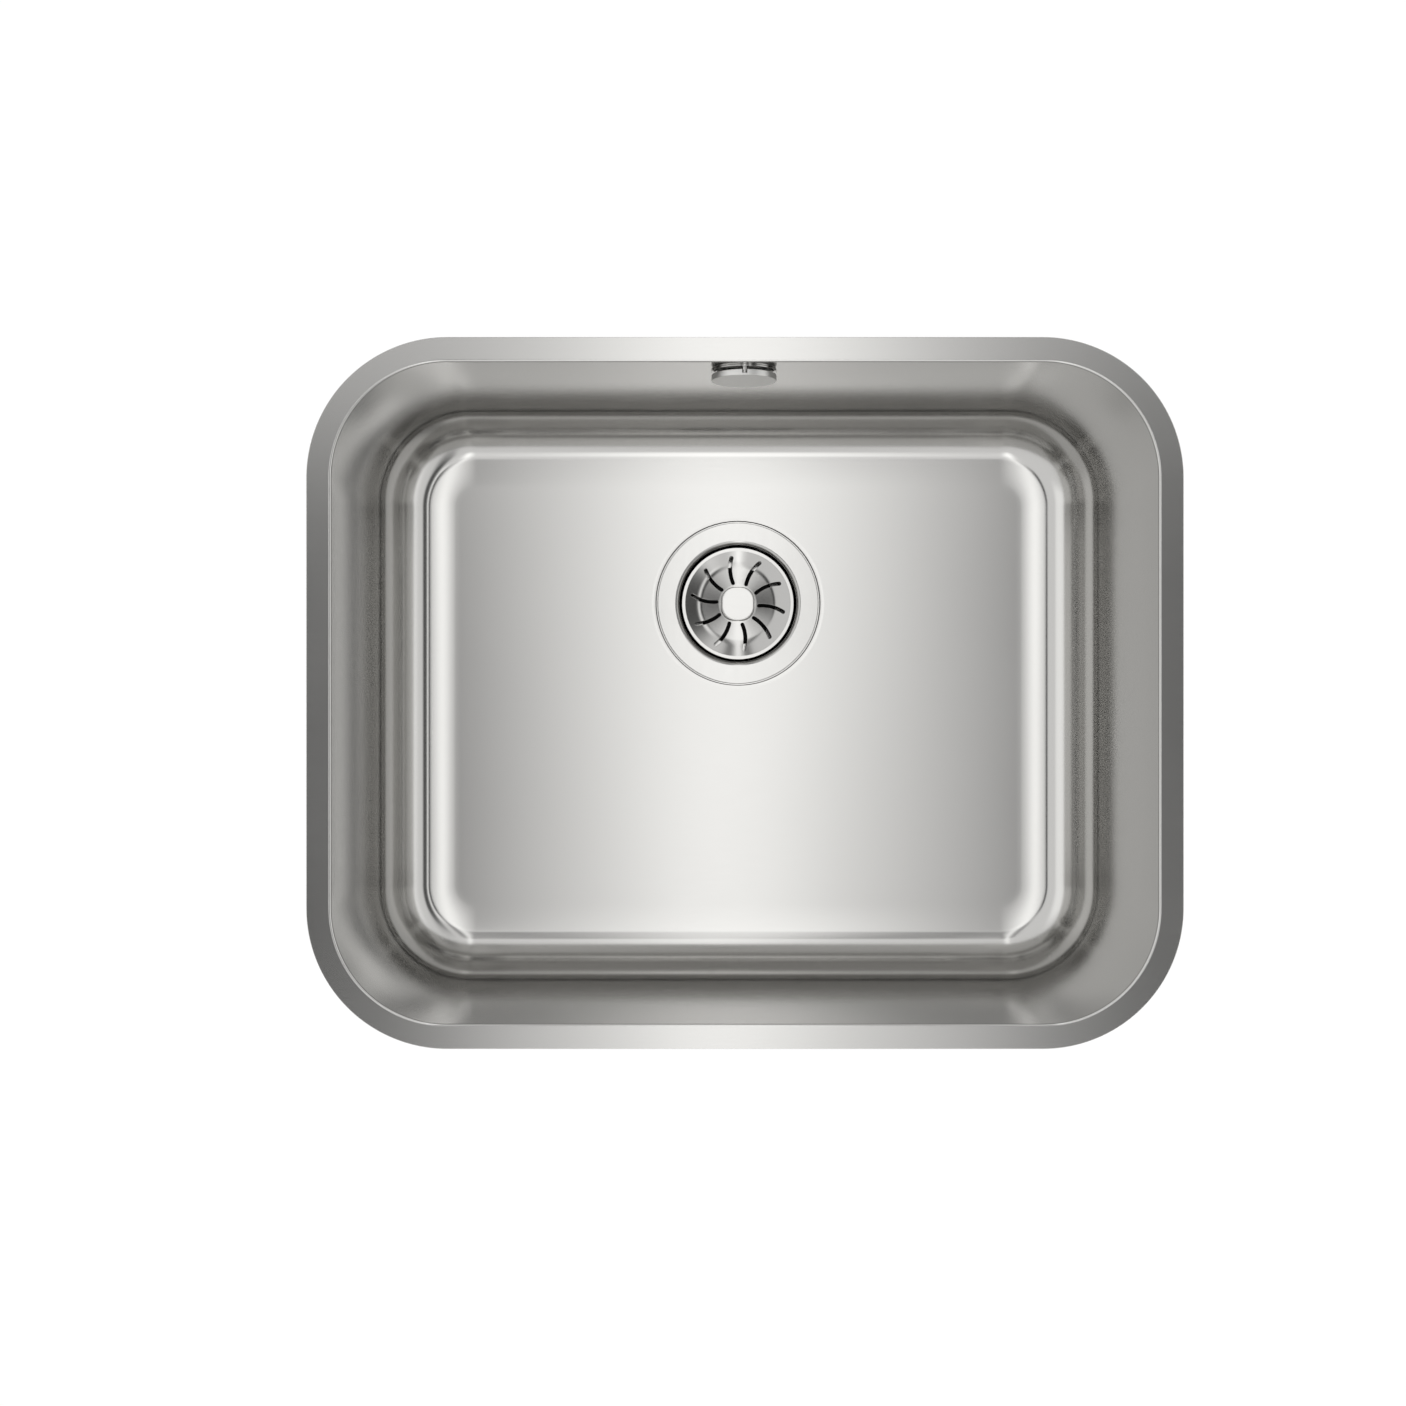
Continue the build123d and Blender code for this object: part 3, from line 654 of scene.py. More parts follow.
class SINK_OT_bowl(bpy.types.Operator):
    """Press the bowl: rings of one section from the rim's edge to the waste hole"""

    bl_idname = "sink.bowl"
    bl_label = "Bowl"

    def execute(self, context):
        s = context.scene.sink_bowl
        edge, inside, outside = 0.25 * MM, 1.1 * MM, 4 * MM
        line, under = (
            guarded(wall_line(s, piece), 5 * MM, reach=0.4 * MM) for piece in (inside, outside)
        )
        under = offset_line(under, s.sheet)
        rim_edge = rounded_line(
            [under[1], under[0], line[0], line[1]], [0, edge, edge, 0], step=25
        )[1:-1]
        base = s.rim_corner - s.rim_flat
        centres, normals = rounded_rectangle(
            s.rim_length - 2 * s.rim_flat, s.rim_width - 2 * s.rim_flat, base
        )
        drain = np.array([0.0, DRAIN_Y])

        def ring(offset, height):
            flat_ring = centres + (base + offset) * normals
            return np.column_stack([flat_ring, np.full(len(flat_ring), height)])

        def hole(radius, height):
            towards = ring(line[-1][0], 0.0)[:, :2] - drain
            towards /= np.linalg.norm(towards, axis=1)[:, None]
            return np.column_stack([towards * radius + drain, np.full(len(towards), height)])

        lip, ease = 0.2 * MM, 0.5 * MM
        ledge = rounded_line(
            [
                (s.ledge_radius + 3 * MM, -s.depth),
                (s.ledge_radius, -s.depth),
                (s.ledge_radius, -s.depth - s.ledge_drop),
                (s.hole_radius, -s.depth - s.ledge_drop),
            ],
            [0, lip, ease, 0],
            step=12,
        )
        ledge_under = offset_line(ledge, s.sheet)

        def floor_rings(height, steps):
            outer, inner = ring(line[-1][0], height), hole(ledge[0][0], height)
            return [outer + (inner - outer) * t for t in np.linspace(0, 1, steps + 1)[1:-1]]

        rings = [ring(d, z) for d, z in rim_edge]
        rings += [ring(d, z) for d, z in line[1:]]
        rings += floor_rings(-s.depth, 12)
        rings += [hole(r, z) for r, z in ledge]
        rings += [hole(r, z) for r, z in ledge_under[::-1]]
        rings += floor_rings(-s.depth - s.sheet, 6)[::-1]
        rings += [ring(d, z) for d, z in under[:0:-1]]
        bowl = make_mesh(
            "bowl_shell", np.stack(rings), grid_faces(len(rings), len(centres), True, True)
        )
        tidy_mesh(bowl)
        reach = 4 * s.sheet
        cutter = drum("overflow_cutter", s.overflow_hole, -reach, reach, overflow_place(s), 96)
        combined(bowl, [cutter])
        dress(bowl, "bowl", "sink", satin_steel(context))
        return {"FINISHED"}


class SINK_OT_sound_pads(bpy.types.Operator):
    """Cut the sound pads under the floor and on the two end walls"""

    bl_idname = "sink.sound_pads"
    bl_label = "Sound pads"

    def execute(self, context):
        s = context.scene.sink_bowl
        low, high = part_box("floor_sound_pad")
        loop = rectangle(high.x - low.x, high.y - low.y, s.pad_corner)
        pad = prism("floor_pad", loop, low.z, high.z, lambda points: points, s.pad_edge)
        gap = 4 * MM + 0.2 * MM
        hole = span("waste_body")[0] + gap
        reach = 2 * MM
        cutter = drum("pad_cutter", hole, low.z - reach, high.z + reach, about_drain)
        combined(pad, [cutter])
        dress(pad, "floor_sound_pad", "sink", bitumen(context))

        lean = s.draft
        wall = s.rim_length / 2 - s.rim_flat + s.sheet - s.wall_pad_drop * math.tan(lean)

        def on_wall(side):
            origin = np.array([side * wall, 0.0, -s.wall_pad_drop])
            along = np.array(
                [
                    [0.0, side, 0.0],
                    [side * math.sin(lean), 0.0, math.cos(lean)],
                    [side * math.cos(lean), 0.0, -math.sin(lean)],
                ]
            )
            return lambda points: points @ along + origin

        loop = rectangle(s.wall_pad_length, s.wall_pad_height, s.pad_corner)
        sides = [
            prism(f"wall_pad_{side}", loop, 0.0, s.pad_thickness, on_wall(side), s.pad_edge)
            for side in (1, -1)
        ]
        pads = joined(sides[0], sides[1:])
        pads.name = "wall_pads"
        dress(pads, "wall_sound_pads", "sink", bitumen(context))
        return {"FINISHED"}


# ---- waste -----------------------------------------------------------------------


class SINK_OT_cup(bpy.types.Operator):
    """Press the strainer cup with its flange and lay its two seals"""

    bl_idname = "sink.cup"
    bl_label = "Strainer cup"

    def execute(self, context):
        s = context.scene.sink_waste
        flange, bottom, top = span("strainer_cup")
        floor = bottom + s.cup_sheet
        line = rounded_line(
            [
                (flange, top),
                (s.cup_mouth, top),
                (s.cup_radius, floor),
                (s.screw_radius + FIT, floor),
            ],
            [0, s.cup_lip, s.cup_floor_fillet, 0],
            step=5,
        )
        outline = pressed_outline(line, s.cup_sheet, 0.3 * MM)
        cup = turned("cup_pressing", outline, about_drain, 192)
        low, high = bottom - 2 * s.cup_sheet, floor + 2 * s.cup_sheet
        cutters = []
        for i in range(s.cup_hole_count):
            turn = 2 * math.pi * i / s.cup_hole_count
            centre = (s.cup_hole_circle * math.cos(turn), s.cup_hole_circle * math.sin(turn))
            cutters.append(
                peg(f"cup_cutter_{i}", s.cup_hole, low, high, about_drain, centre, 32)
            )
        combined(cup, cutters)
        dress(cup, "strainer_cup", "sink", polished_steel(context))

        for node, bore in (
            ("cup_flange_seal", span("cup_flange_seal")[0] - 8 * MM),
            ("under_floor_seal", context.scene.sink_bowl.hole_radius + 1 * MM),
        ):
            radius, low, high = span(node)
            ring = turned(node + "_ring", tube(bore, radius, low, high, 0.3 * MM), about_drain)
            dress(ring, node, "sink", rubber(context))
        return {"FINISHED"}


class SINK_OT_waste_body(bpy.types.Operator):
    """Mould the waste body with its hub, spokes, branch and outlet thread"""

    bl_idname = "sink.waste_body"
    bl_label = "Waste body"

    def execute(self, context):
        s = context.scene.sink_waste
        flange, outlet, top = span("waste_body")
        bore = s.cup_radius + s.cup_sheet + s.body_gap
        outer = bore + s.body_wall
        cone_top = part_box("strainer_cup")[0].z - s.body_gap
        cone_bottom = cone_top - s.cone_height
        shoulder, neck, ease = 6 * MM, 3 * MM, 0.6 * MM
        outside = section(
            8,
            (0, top),
            (flange, top, ease),
            (flange, top - s.body_flange_height, ease),
            (outer, top - s.body_flange_height, 2 * MM),
            (outer, cone_top - s.body_wall / 2, shoulder),
            (s.outlet_radius, cone_bottom - s.body_wall / 2, neck),
            (s.outlet_radius, outlet, 0.4 * MM),
            (0, outlet),
        )
        thread_top = outlet + 8 * s.thread_pitch
        outside = divided(
            outside,
            0.28 * MM,
            True,
            lambda r, z: abs(r - s.outlet_radius) < 1e-5 and z < thread_top,
        )
        place = threaded(
            about_drain, s.outlet_radius, outlet + 0.6 * MM, thread_top, s.thread_pitch,
            s.thread_depth,
        )
        body = turned("waste_shell", outside, place, 144)
        branch_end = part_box("overflow_hose")[0].y
        start = DRAIN_Y + s.outlet_radius
        root = DRAIN_Y + outer
        thick = s.branch_radius + 2.2 * MM
        outline = section(
            15,
            (0, start),
            (thick, start),
            (thick, root - 1.5 * MM, 1.5 * MM),
            (s.branch_radius, root + 3.5 * MM, 3 * MM),
            (s.branch_radius, branch_end, 0.5 * MM),
            (0, branch_end),
        )
        branch = turned("branch_pipe", outline, about_branch, 96)
        combined(body, [branch], "UNION")
        reach = 2 * MM
        outline = section(
            8,
            (0, top + reach),
            (bore, top + reach),
            (bore, cone_top, shoulder),
            (s.outlet_bore, cone_bottom, neck),
            (s.outlet_bore, outlet - reach),
            (0, outlet - reach),
        )
        hollow = turned("hollow", outline, about_drain)
        branch_hollow = drum(
            "branch_hollow", s.branch_bore, start - 4 * MM, branch_end + reach, about_branch, 64
        )
        combined(body, [hollow, branch_hollow])

        hub_low = cone_top - s.hub_height
        web = s.hub_web
        outline = tube(s.screw_radius + 0.3 * MM, s.hub_radius, hub_low, cone_top, 0.5 * MM)
        hub = turned("hub", outline, about_drain, 72)
        spoke_start = s.hub_radius - 1 * MM
        spoke_end = bore + s.body_wall / 2 - 3 * MM
        low_end = s.outlet_bore + (bore - s.outlet_bore) * 0.2
        outline = np.array(
            [
                [spoke_start, hub_low + 0.5 * MM],
                [low_end, hub_low + 0.5 * MM],
                [spoke_end, cone_top - 3 * MM],
                [spoke_end, cone_top - 0.5 * MM],
                [spoke_start, cone_top - 0.5 * MM],
            ]
        )
        spokes = []
        for i in range(4):
            turn = math.pi / 4 + i * math.pi / 2
            cos, sin = math.cos(turn), math.sin(turn)

            def upright(points, cos=cos, sin=sin):
                x, y, z = np.moveaxis(points, -1, 0)
                return about_drain(np.stack([x * cos - z * sin, x * sin + z * cos, y], -1))

            spokes.append(prism(f"spoke_{i}", outline, -web / 2, web / 2, upright, 0.4 * MM))
        joined(body, [hub, *spokes])
        dress(body, "waste_body", "sink", moulded(context, "waste_plastic"))
        return {"FINISHED"}


class SINK_OT_hollow_screw(bpy.types.Operator):
    """Turn the hollow screw that clamps the cup, and its brass nut"""

    bl_idname = "sink.hollow_screw"
    bl_label = "Hollow screw"

    def execute(self, context):
        s = context.scene.sink_waste
        head, low, high = span("hollow_screw")
        shoulder = high - s.screw_head_height
        outline = section(
            22,
            (s.screw_bore, low, 0.2 * MM),
            (s.screw_radius, low, 0.8 * MM),
            (s.screw_radius, shoulder, 0.1 * MM),
            (head, shoulder, 0.2 * MM),
            (head, high, 0.7 * MM),
            (s.screw_bore, high, 0.3 * MM),
        )
        outline = divided(outline, 0.2 * MM, True, lambda r, z: abs(r - s.screw_radius) < 1e-5)
        pitch, depth = 1.25 * MM, 0.6 * MM
        place = threaded(about_drain, s.screw_radius, low, shoulder - 8 * MM, pitch, depth)
        screw = turned("hollow_screw_turned", outline, place, 72)
        loop = rectangle(3 * head, s.screw_slot)
        slot = prism("slot_cutter", loop, high - 1.2 * MM, high + 2 * MM, about_drain)
        combined(screw, [slot])
        dress(screw, "hollow_screw", "sink", turned_steel(context))

        low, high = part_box("insert_nut")
        loop = hexagon(high.y - low.y, 0.8 * MM)
        nut = prism("insert_nut_hex", loop, low.z, high.z, about_drain, 0.5 * MM)
        bore = drum("nut_cutter", s.screw_radius + FIT, low.z - MM, high.z + MM, about_drain, 72)
        combined(nut, [bore])
        dress(nut, "insert_nut", "sink", turned_brass(context))
        return {"FINISHED"}


# ---- basket ------------------------------------------------------------------------


def slot_sides(s, radius):
    """The turns of a slot's two sides at each radius, in radians.

    A disc of the slot's half width w is carried along an arc through three points.
    At radius r, a disc whose centre lies at radius c covers the turns within
    acos((r^2 + c^2 - w^2) / 2 r c) of its centre's turn, and the sides are the most
    and the least over all the discs.
    """
    ends = [
        (s.slot_inner, s.slot_inner_turn),
        (s.slot_middle, s.slot_middle_turn),
        (s.slot_outer, s.slot_outer_turn),
    ]
    a, b, c = (r * np.exp(1j * t) for r, t in ends)
    # The centre of the circle through three points of the complex plane.
    w = (c - a) / (b - a)
    centre = (b - a) * (w - abs(w) ** 2) / (w - w.conjugate()) + a
    start, end = np.angle(a - centre), np.angle(c - centre)
    swing = (end - start + np.pi) % (2 * np.pi) - np.pi
    path = centre + (a - centre) * np.exp(1j * np.linspace(0, swing, 240))
    half = s.slot_width / 2
    r = radius[:, None]
    at = np.abs(path)[None]
    cosine = (r**2 + at**2 - half**2) / (2 * r * at)
    reach = np.where(cosine < 1, np.arccos(np.clip(cosine, -1, 1)), -10.0)
    turn = np.angle(path)[None]
    high = np.where(reach > -1, turn + reach, -10).max(1)
    low = np.where(reach > -1, turn - reach, 10).min(1)
    closed = high < low
    tip = np.where(radius < s.slot_middle, np.angle(a), np.angle(c))
    return np.where(closed, tip, low), np.where(closed, tip, high)


class SINK_OT_basket(bpy.types.Operator):
    """Press the basket: ten sectors of one dish between its swirled slots"""

    bl_idname = "sink.basket"
    bl_label = "Basket"

    def execute(self, context):
        s = context.scene.sink_basket
        rim, _, top = span("strainer_basket")
        bore = s.stem_radius + FIT
        dish = rounded_line(
            [
                (rim, top),
                (rim - s.rim_width, top),
                (s.knee_radius, top - s.knee_drop),
                (s.hub_radius, top - s.hub_drop),
                (bore, top - s.hub_drop),
            ],
            [0, s.rim_bend, s.knee_bend, s.hub_bend, 0],
            step=1,
        )
        dish = guarded(dish, 1 * MM)
        # Radii crowd towards the ends of the slots, as 1 - cos does.
        half = s.slot_width / 2
        inner, outer = s.slot_inner - half, s.slot_outer + half
        swing = (1 - np.cos(np.linspace(0, np.pi, 57))) / 2
        slotted = inner + (outer - inner) * swing
        plain = dish[:, 0]
        radius = np.concatenate(
            [
                plain[plain > outer + 0.5 * MM],
                [outer + 0.4 * MM, outer + 0.1 * MM],
                slotted[::-1],
                [inner - 0.1 * MM],
                np.linspace(inner, bore, 14)[1:],
            ]
        )
        height = np.interp(-radius, -plain, dish[:, 1])
        low, high = slot_sides(s, radius)
        sector = 2 * np.pi / s.slot_count
        across = np.concatenate([[0], np.linspace(0.016, 0.984, 15), [1]])
        # From one slot's high side to the next slot's low side.
        turn = high[:, None] + (low[:, None] + sector - high[:, None]) * across
        points, faces = [], []
        quads = grid_faces(len(radius), len(across), False, False)
        for i in range(s.slot_count):
            bearing = turn + i * sector
            points.append(
                np.stack(
                    [
                        radius[:, None] * np.cos(bearing),
                        radius[:, None] * np.sin(bearing),
                        np.broadcast_to(height[:, None], bearing.shape),
                    ],
                    -1,
                ).reshape(-1, 3)
            )
            faces.append(quads + i * len(radius) * len(across))
        basket = make_mesh(
            "basket_pressing", about_drain(np.concatenate(points)), np.concatenate(faces)
        )
        tidy_mesh(basket, merge=2e-6, sharp=80)
        up = sum(face.normal.z * face.area for face in basket.data.polygons)
        if up < 0:
            basket.data.flip_normals()
        solid = basket.modifiers.new("sheet", "SOLIDIFY")
        solid.thickness = s.sheet
        solid.offset = -1.0
        solid.use_even_offset = True
        dress(basket, "strainer_basket", "basket", polished_steel(context))
        return {"FINISHED"}


class SINK_OT_knob(bpy.types.Operator):
    """Make the knob: rings of a rounded square on a round neck"""

    bl_idname = "sink.knob"
    bl_label = "Knob"

    def execute(self, context):
        s = context.scene.sink_basket
        low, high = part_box("strainer_knob")
        under = high.z - s.knob_cap
        centres, normals = rounded_rectangle(s.knob_side, s.knob_side, s.knob_corner, 8, 12)
        bearing = centres + s.knob_corner * normals
        bearing /= np.linalg.norm(bearing, axis=1)[:, None]

        def square(inset, height):
            loop = centres + (s.knob_corner - inset) * normals
            return np.column_stack([loop, np.full(len(loop), height)])

        def round_ring(radius, height):
            return np.column_stack([bearing * radius, np.full(len(bearing), height)])

        e = s.knob_edge
        bend = np.linspace(0, np.pi / 2, 6)
        bore = s.stem_radius + FIT
        roof = span("knob_stem")[2] + 0.3 * MM
        rings = [round_ring(0, roof), round_ring(bore, roof), round_ring(bore, low.z)]
        rings += [round_ring(s.knob_neck, low.z), round_ring(s.knob_neck, under - 0.6 * MM)]
        rings += [round_ring(s.knob_neck + 0.6 * MM, under)]
        rings += [square(0.5 * MM * (1 - math.sin(b)), under + 0.5 * MM * (1 - math.cos(b)))
                  for b in bend]
        rings += [square(e * (1 - math.sin(b)), high.z - e * (1 - math.cos(b)))
                  for b in bend[::-1]]
        rings += [square(e + 0.8 * MM, high.z), square(s.knob_corner * 0.9, high.z)]
        rings += [round_ring(0, high.z)]
        knob = make_mesh(
            "knob_cap",
            about_drain(np.stack(rings)),
            grid_faces(len(rings), len(bearing), False, True),
        )
        tidy_mesh(knob, sharp=40)
        dress(knob, "strainer_knob", "basket", satin_steel(context))
        return {"FINISHED"}


class SINK_OT_plug(bpy.types.Operator):
    """Turn the stem, its washer and nut, the plug seal and the catch ring"""

    bl_idname = "sink.plug"
    bl_label = "Stem and plug"

    def execute(self, context):
        s = context.scene.sink_basket
        collar, tip, top = span("knob_stem")
        _, seal_low, seal_high = span("plug_seal")
        catch, catch_low, catch_high = span("catch_ring")
        washer_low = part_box("stem_washer")[0].z
        r, groove = s.stem_radius, 0.5 * MM
        outline = section(
            22,
            (0, tip),
            (r, tip, 1 * MM),
            (r, catch_low),
            (r - groove, catch_low),
            (r - groove, catch_high),
            (r, catch_high),
            (r, seal_high),
            (collar, seal_high, 0.3 * MM),
            (collar, washer_low, 0.3 * MM),
            (r, washer_low),
            (r, top, 0.3 * MM),
            (0, top),
        )
        stem = turned("stem_turned", outline, about_drain, 64)
        dress(stem, "knob_stem", "basket_core", turned_steel(context))

        bore = r + FIT
        radius, low, high = span("stem_washer")
        outline = tube(bore, radius, low, high, 0.2 * MM)
        washer = turned("stem_washer_ring", outline, about_drain, 72)
        dress(washer, "stem_washer", "basket_core", turned_steel(context))

        radius = span("plug_seal")[0]
        under = seal_high - s.seal_plate
        skirt = radius - s.seal_skirt
        soft = 0.5 * MM
        outline = section(
            15,
            (bore, under, 0.2 * MM),
            (skirt, under, 1.2 * MM),
            (skirt, seal_low, soft),
            (radius - 1.2 * MM, seal_low, soft),
            (radius, seal_low + 1.6 * MM, soft),
            (radius - 0.8 * MM, seal_low + 3.4 * MM, soft),
            (radius, seal_low + 5 * MM, soft),
            (radius, seal_high, 1 * MM),
            (bore, seal_high, 0.2 * MM),
        )
        seal = turned("plug_seal_moulded", outline, about_drain)
        dress(seal, "plug_seal", "basket_core", rubber(context))

        low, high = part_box("stem_nut")
        loop = hexagon(high.y - low.y, 0.7 * MM)
        nut = prism("stem_nut_hex", loop, low.z, high.z, about_drain, 0.4 * MM)
        cutter = drum("nut_cutter", bore, low.z - MM, high.z + MM, about_drain, 48)
        combined(nut, [cutter])
        dress(nut, "stem_nut", "basket_core", turned_steel(context))

        # The catch ring is a rounded section carried round an open arc.
        wire = rectangle(catch - r + groove - FIT, catch_high - catch_low, 0.3 * MM)
        wire += [(catch + r - groove + FIT) / 2, (catch_low + catch_high) / 2]
        half = s.catch_mouth / 2
        bearing = np.linspace(half, 2 * math.pi - half, 61)[:, None]
        points = np.stack(
            [
                wire[:, 0] * np.cos(bearing),
                wire[:, 0] * np.sin(bearing),
                np.broadcast_to(wire[:, 1], (len(bearing), len(wire))),
            ],
            -1,
        )
        faces = capped(len(bearing), len(wire))
        ring = tidy_mesh(make_mesh("catch_ring_wire", about_drain(points), faces))
        dress(ring, "catch_ring", "basket_core", turned_steel(context))
        return {"FINISHED"}


# ---- overflow ----------------------------------------------------------------------


class SINK_OT_overflow_cover(bpy.types.Operator):
    """Make the overflow's cover, its base ring, pegs and screw"""

    bl_idname = "sink.overflow_cover"
    bl_label = "Overflow cover"

    def execute(self, context):
        s = context.scene.sink_overflow
        place = overflow_place(context.scene.sink_bowl)
        back = s.base_height + s.cover_gap
        front = back + s.cover_depth
        wall, r, e = s.cover_wall, s.cover_radius, s.cover_edge
        outline = section(
            12,
            (0, front),
            (r, front, e),
            (r, back, e),
            (r - wall, back, e),
            (r - wall, front - wall, 0.4 * MM),
            (0, front - wall),
        )
        cover = turned("cover_cap", outline, place, 192)
        bearings = [math.pi / 2 + 2 * math.pi * i / s.peg_count for i in range(s.peg_count)]
        centres = [(s.peg_circle * math.cos(b), s.peg_circle * math.sin(b)) for b in bearings]
        bosses = [
            peg(f"boss_{i}", s.cover_boss, back + e, front - wall / 2, place, centre)
            for i, centre in enumerate(centres)
        ]
        combined(cover, bosses, "UNION")
        grip = s.peg_radius + FIT
        loop = rectangle(2 * grip + 6 * MM, 2 * grip, grip * 0.99, (s.peg_circle + 3 * MM, 0))
        end = back + s.peg_grip + 0.3 * MM
        notches = [
            prism(f"notch_{i}", turned_by(loop, bearing), back - MM, end, place)
            for i, bearing in enumerate(bearings)
        ]
        combined(cover, notches)
        dress(cover, "overflow_cover", "cover", cover_steel(context, place, front))

        outline = tube(s.base_bore, s.base_radius, 0, s.base_height, 0.2 * MM)
        base = turned("base_plate", outline, place, 160)
        holes = [
            peg(f"peg_hole_{i}", s.peg_radius, -MM, 2 * MM, place, centre)
            for i, centre in enumerate(centres)
        ]
        combined(base, holes)
        bore = s.screw_radius + FIT
        ease = 0.15 * MM
        boss = turned("boss", tube(bore, s.base_boss, 0, s.base_height, ease), place, 64)
        # The arms end inside the boss and the ring, a hair thinner than both.
        arms = []
        inset = 0.03 * MM
        near, far = (bore + s.base_boss) / 2, s.base_bore + 1 * MM
        for i in range(s.peg_count):
            loop = rectangle(far - near, s.base_arm, 0, ((near + far) / 2, 0))
            loop = turned_by(loop, math.radians(30) + 2 * math.pi * i / s.peg_count)
            arms.append(prism(f"arm_{i}", loop, inset, s.base_height - inset, place, ease))
        joined(base, [boss, *arms])
        dress(base, "overflow_base", "sink", polished_steel(context))

        pegs = []
        for i, (x, y) in enumerate(centres):
            tip = back + s.peg_grip

            def beside(points, x=x, y=y):
                return place(points + np.array([x, y, 0.0]))

            outline = section(
                15, (0, 0), (s.peg_radius, 0), (s.peg_radius, tip, 0.4 * MM), (0, tip)
            )
            pegs.append(turned(f"peg_{i}", outline, beside, 40))
        pegs = joined(pegs[0], pegs[1:])
        pegs.name = "cover_pegs"
        dress(pegs, "overflow_pegs", "sink", polished_steel(context))

        low = s.base_height - s.screw_length
        high = s.base_height + s.screw_head_height
        outline = section(
            15,
            (0, low),
            (s.screw_radius, low, 0.6 * MM),
            (s.screw_radius, s.base_height),
            (s.screw_head, s.base_height, 0.2 * MM),
            (s.screw_head, high, 1.3 * MM),
            (0, high),
        )
        outline = divided(outline, 0.2 * MM, True, lambda a, z: abs(a - s.screw_radius) < 1e-5)
        pitch, depth = 0.8 * MM, 0.4 * MM
        screw_place = threaded(place, s.screw_radius, low, s.base_height - MM, pitch, depth)
        screw = turned("overflow_screw_pan", outline, screw_place, 48)
        arm, width, depth = 4.6 * MM, 1.8 * MM, 1.6 * MM
        cross = [
            prism("cross_0", rectangle(arm, width), high - depth, high + MM, place),
            prism("cross_1", rectangle(width, arm), high - depth, high + MM, place),
        ]
        combined(screw, cross)
        dress(screw, "overflow_screw", "sink", turned_steel(context))
        return {"FINISHED"}


class SINK_OT_elbow(bpy.types.Operator):
    """Mould the overflow's elbow behind the wall, and lay its seal"""

    bl_idname = "sink.elbow"
    bl_label = "Overflow elbow"

    def execute(self, context):
        s = context.scene.sink_overflow
        b = context.scene.sink_bowl
        place = overflow_place(b)
        near = -b.sheet - s.seal_height
        back = near - s.elbow_depth
        inside, inner = s.elbow_radius - s.elbow_wall, back + s.elbow_wall
        pilot, pilot_end = s.screw_radius + FIT, s.base_height - s.screw_length - MM
        outline = tube(b.overflow_hole + FIT, s.elbow_flange, near, -b.sheet, 0.3 * MM)
        seal = turned("overflow_seal_ring", outline, place)
        dress(seal, "overflow_seal", "sink", rubber(context))

        outline = section(
            15,
            (pilot, near, 0.2 * MM),
            (s.elbow_post, near, 0.3 * MM),
            (s.elbow_post, inner, 0.5 * MM),
            (inside, inner, 1 * MM),
            (inside, near, 0.2 * MM),
            (s.elbow_flange, near, 0.4 * MM),
            (s.elbow_flange, near - s.elbow_flange_height, 0.6 * MM),
            (s.elbow_radius, near - s.elbow_flange_height, 1 * MM),
            (s.elbow_radius, back, 2 * MM),
            (0, back),
            (0, pilot_end),
            (pilot, pilot_end),
        )
        elbow = turned("elbow_moulded", outline, place)
        spigot_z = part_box("overflow_hose")[1].z
        spigot = s.hose_bore - FIT
        collar_top = spigot_z + s.collar_height
        spigot_end = spigot_z - s.spigot_length
        outline = section(
            22,
            (0, collar_top),
            (s.collar_radius, collar_top),
            (s.collar_radius, spigot_z, 0.4 * MM),
            (spigot, spigot_z),
            (spigot, spigot_end, 0.6 * MM),
            (0, spigot_end),
        )
        collar = turned("collar", outline, about_hose, 96)
        # The collar is cut a hair wider than the drum's inside, so it ends in the wall.
        hair = 0.3 * MM
        cavity = peg("cavity", inside + hair, inner - hair, near + MM, place, sides=96)
        combined(collar, [cavity])
        bore = spigot - s.spigot_wall
        for piece in (collar, elbow):
            hollow = peg(
                "spigot_hollow", bore, spigot_end - MM, collar_top - s.elbow_wall, about_hose,
                sides=64,
            )
            combined(piece, [hollow])
        joined(elbow, [collar])
        dress(elbow, "overflow_elbow", "sink", moulded(context, "waste_plastic"))
        return {"FINISHED"}


def hose_path(s):
    """The hose's length, and the function that carries a straight hose along its path.

    The path runs down, round a quarter turn of the bend's radius R and level to the
    branch. At a distance d past the bend's start the direction has turned by d / R,
    so the place is R sin(d / R) down and R (1 - cos(d / R)) along.
    """
    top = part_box("overflow_hose")[1].z
    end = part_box("overflow_hose")[0].y
    drop = top - BRANCH_Z - s.hose_bend
    level = HOSE_Y - end - s.hose_bend
    quarter = s.hose_bend * math.pi / 2

    def carried(points):
        x, y, d = np.moveaxis(points, -1, 0)
        turn = np.clip((d - drop) / s.hose_bend, 0, math.pi / 2)
        down = np.minimum(d, drop) + s.hose_bend * np.sin(turn)
        along = s.hose_bend * (1 - np.cos(turn)) + np.maximum(d - drop - quarter, 0)
        # The section's y points away from the bend's centre.
        return np.stack(
            [x, HOSE_Y - along + y * np.cos(turn), top - down - y * np.sin(turn)], -1
        )

    return drop + quarter + level, carried


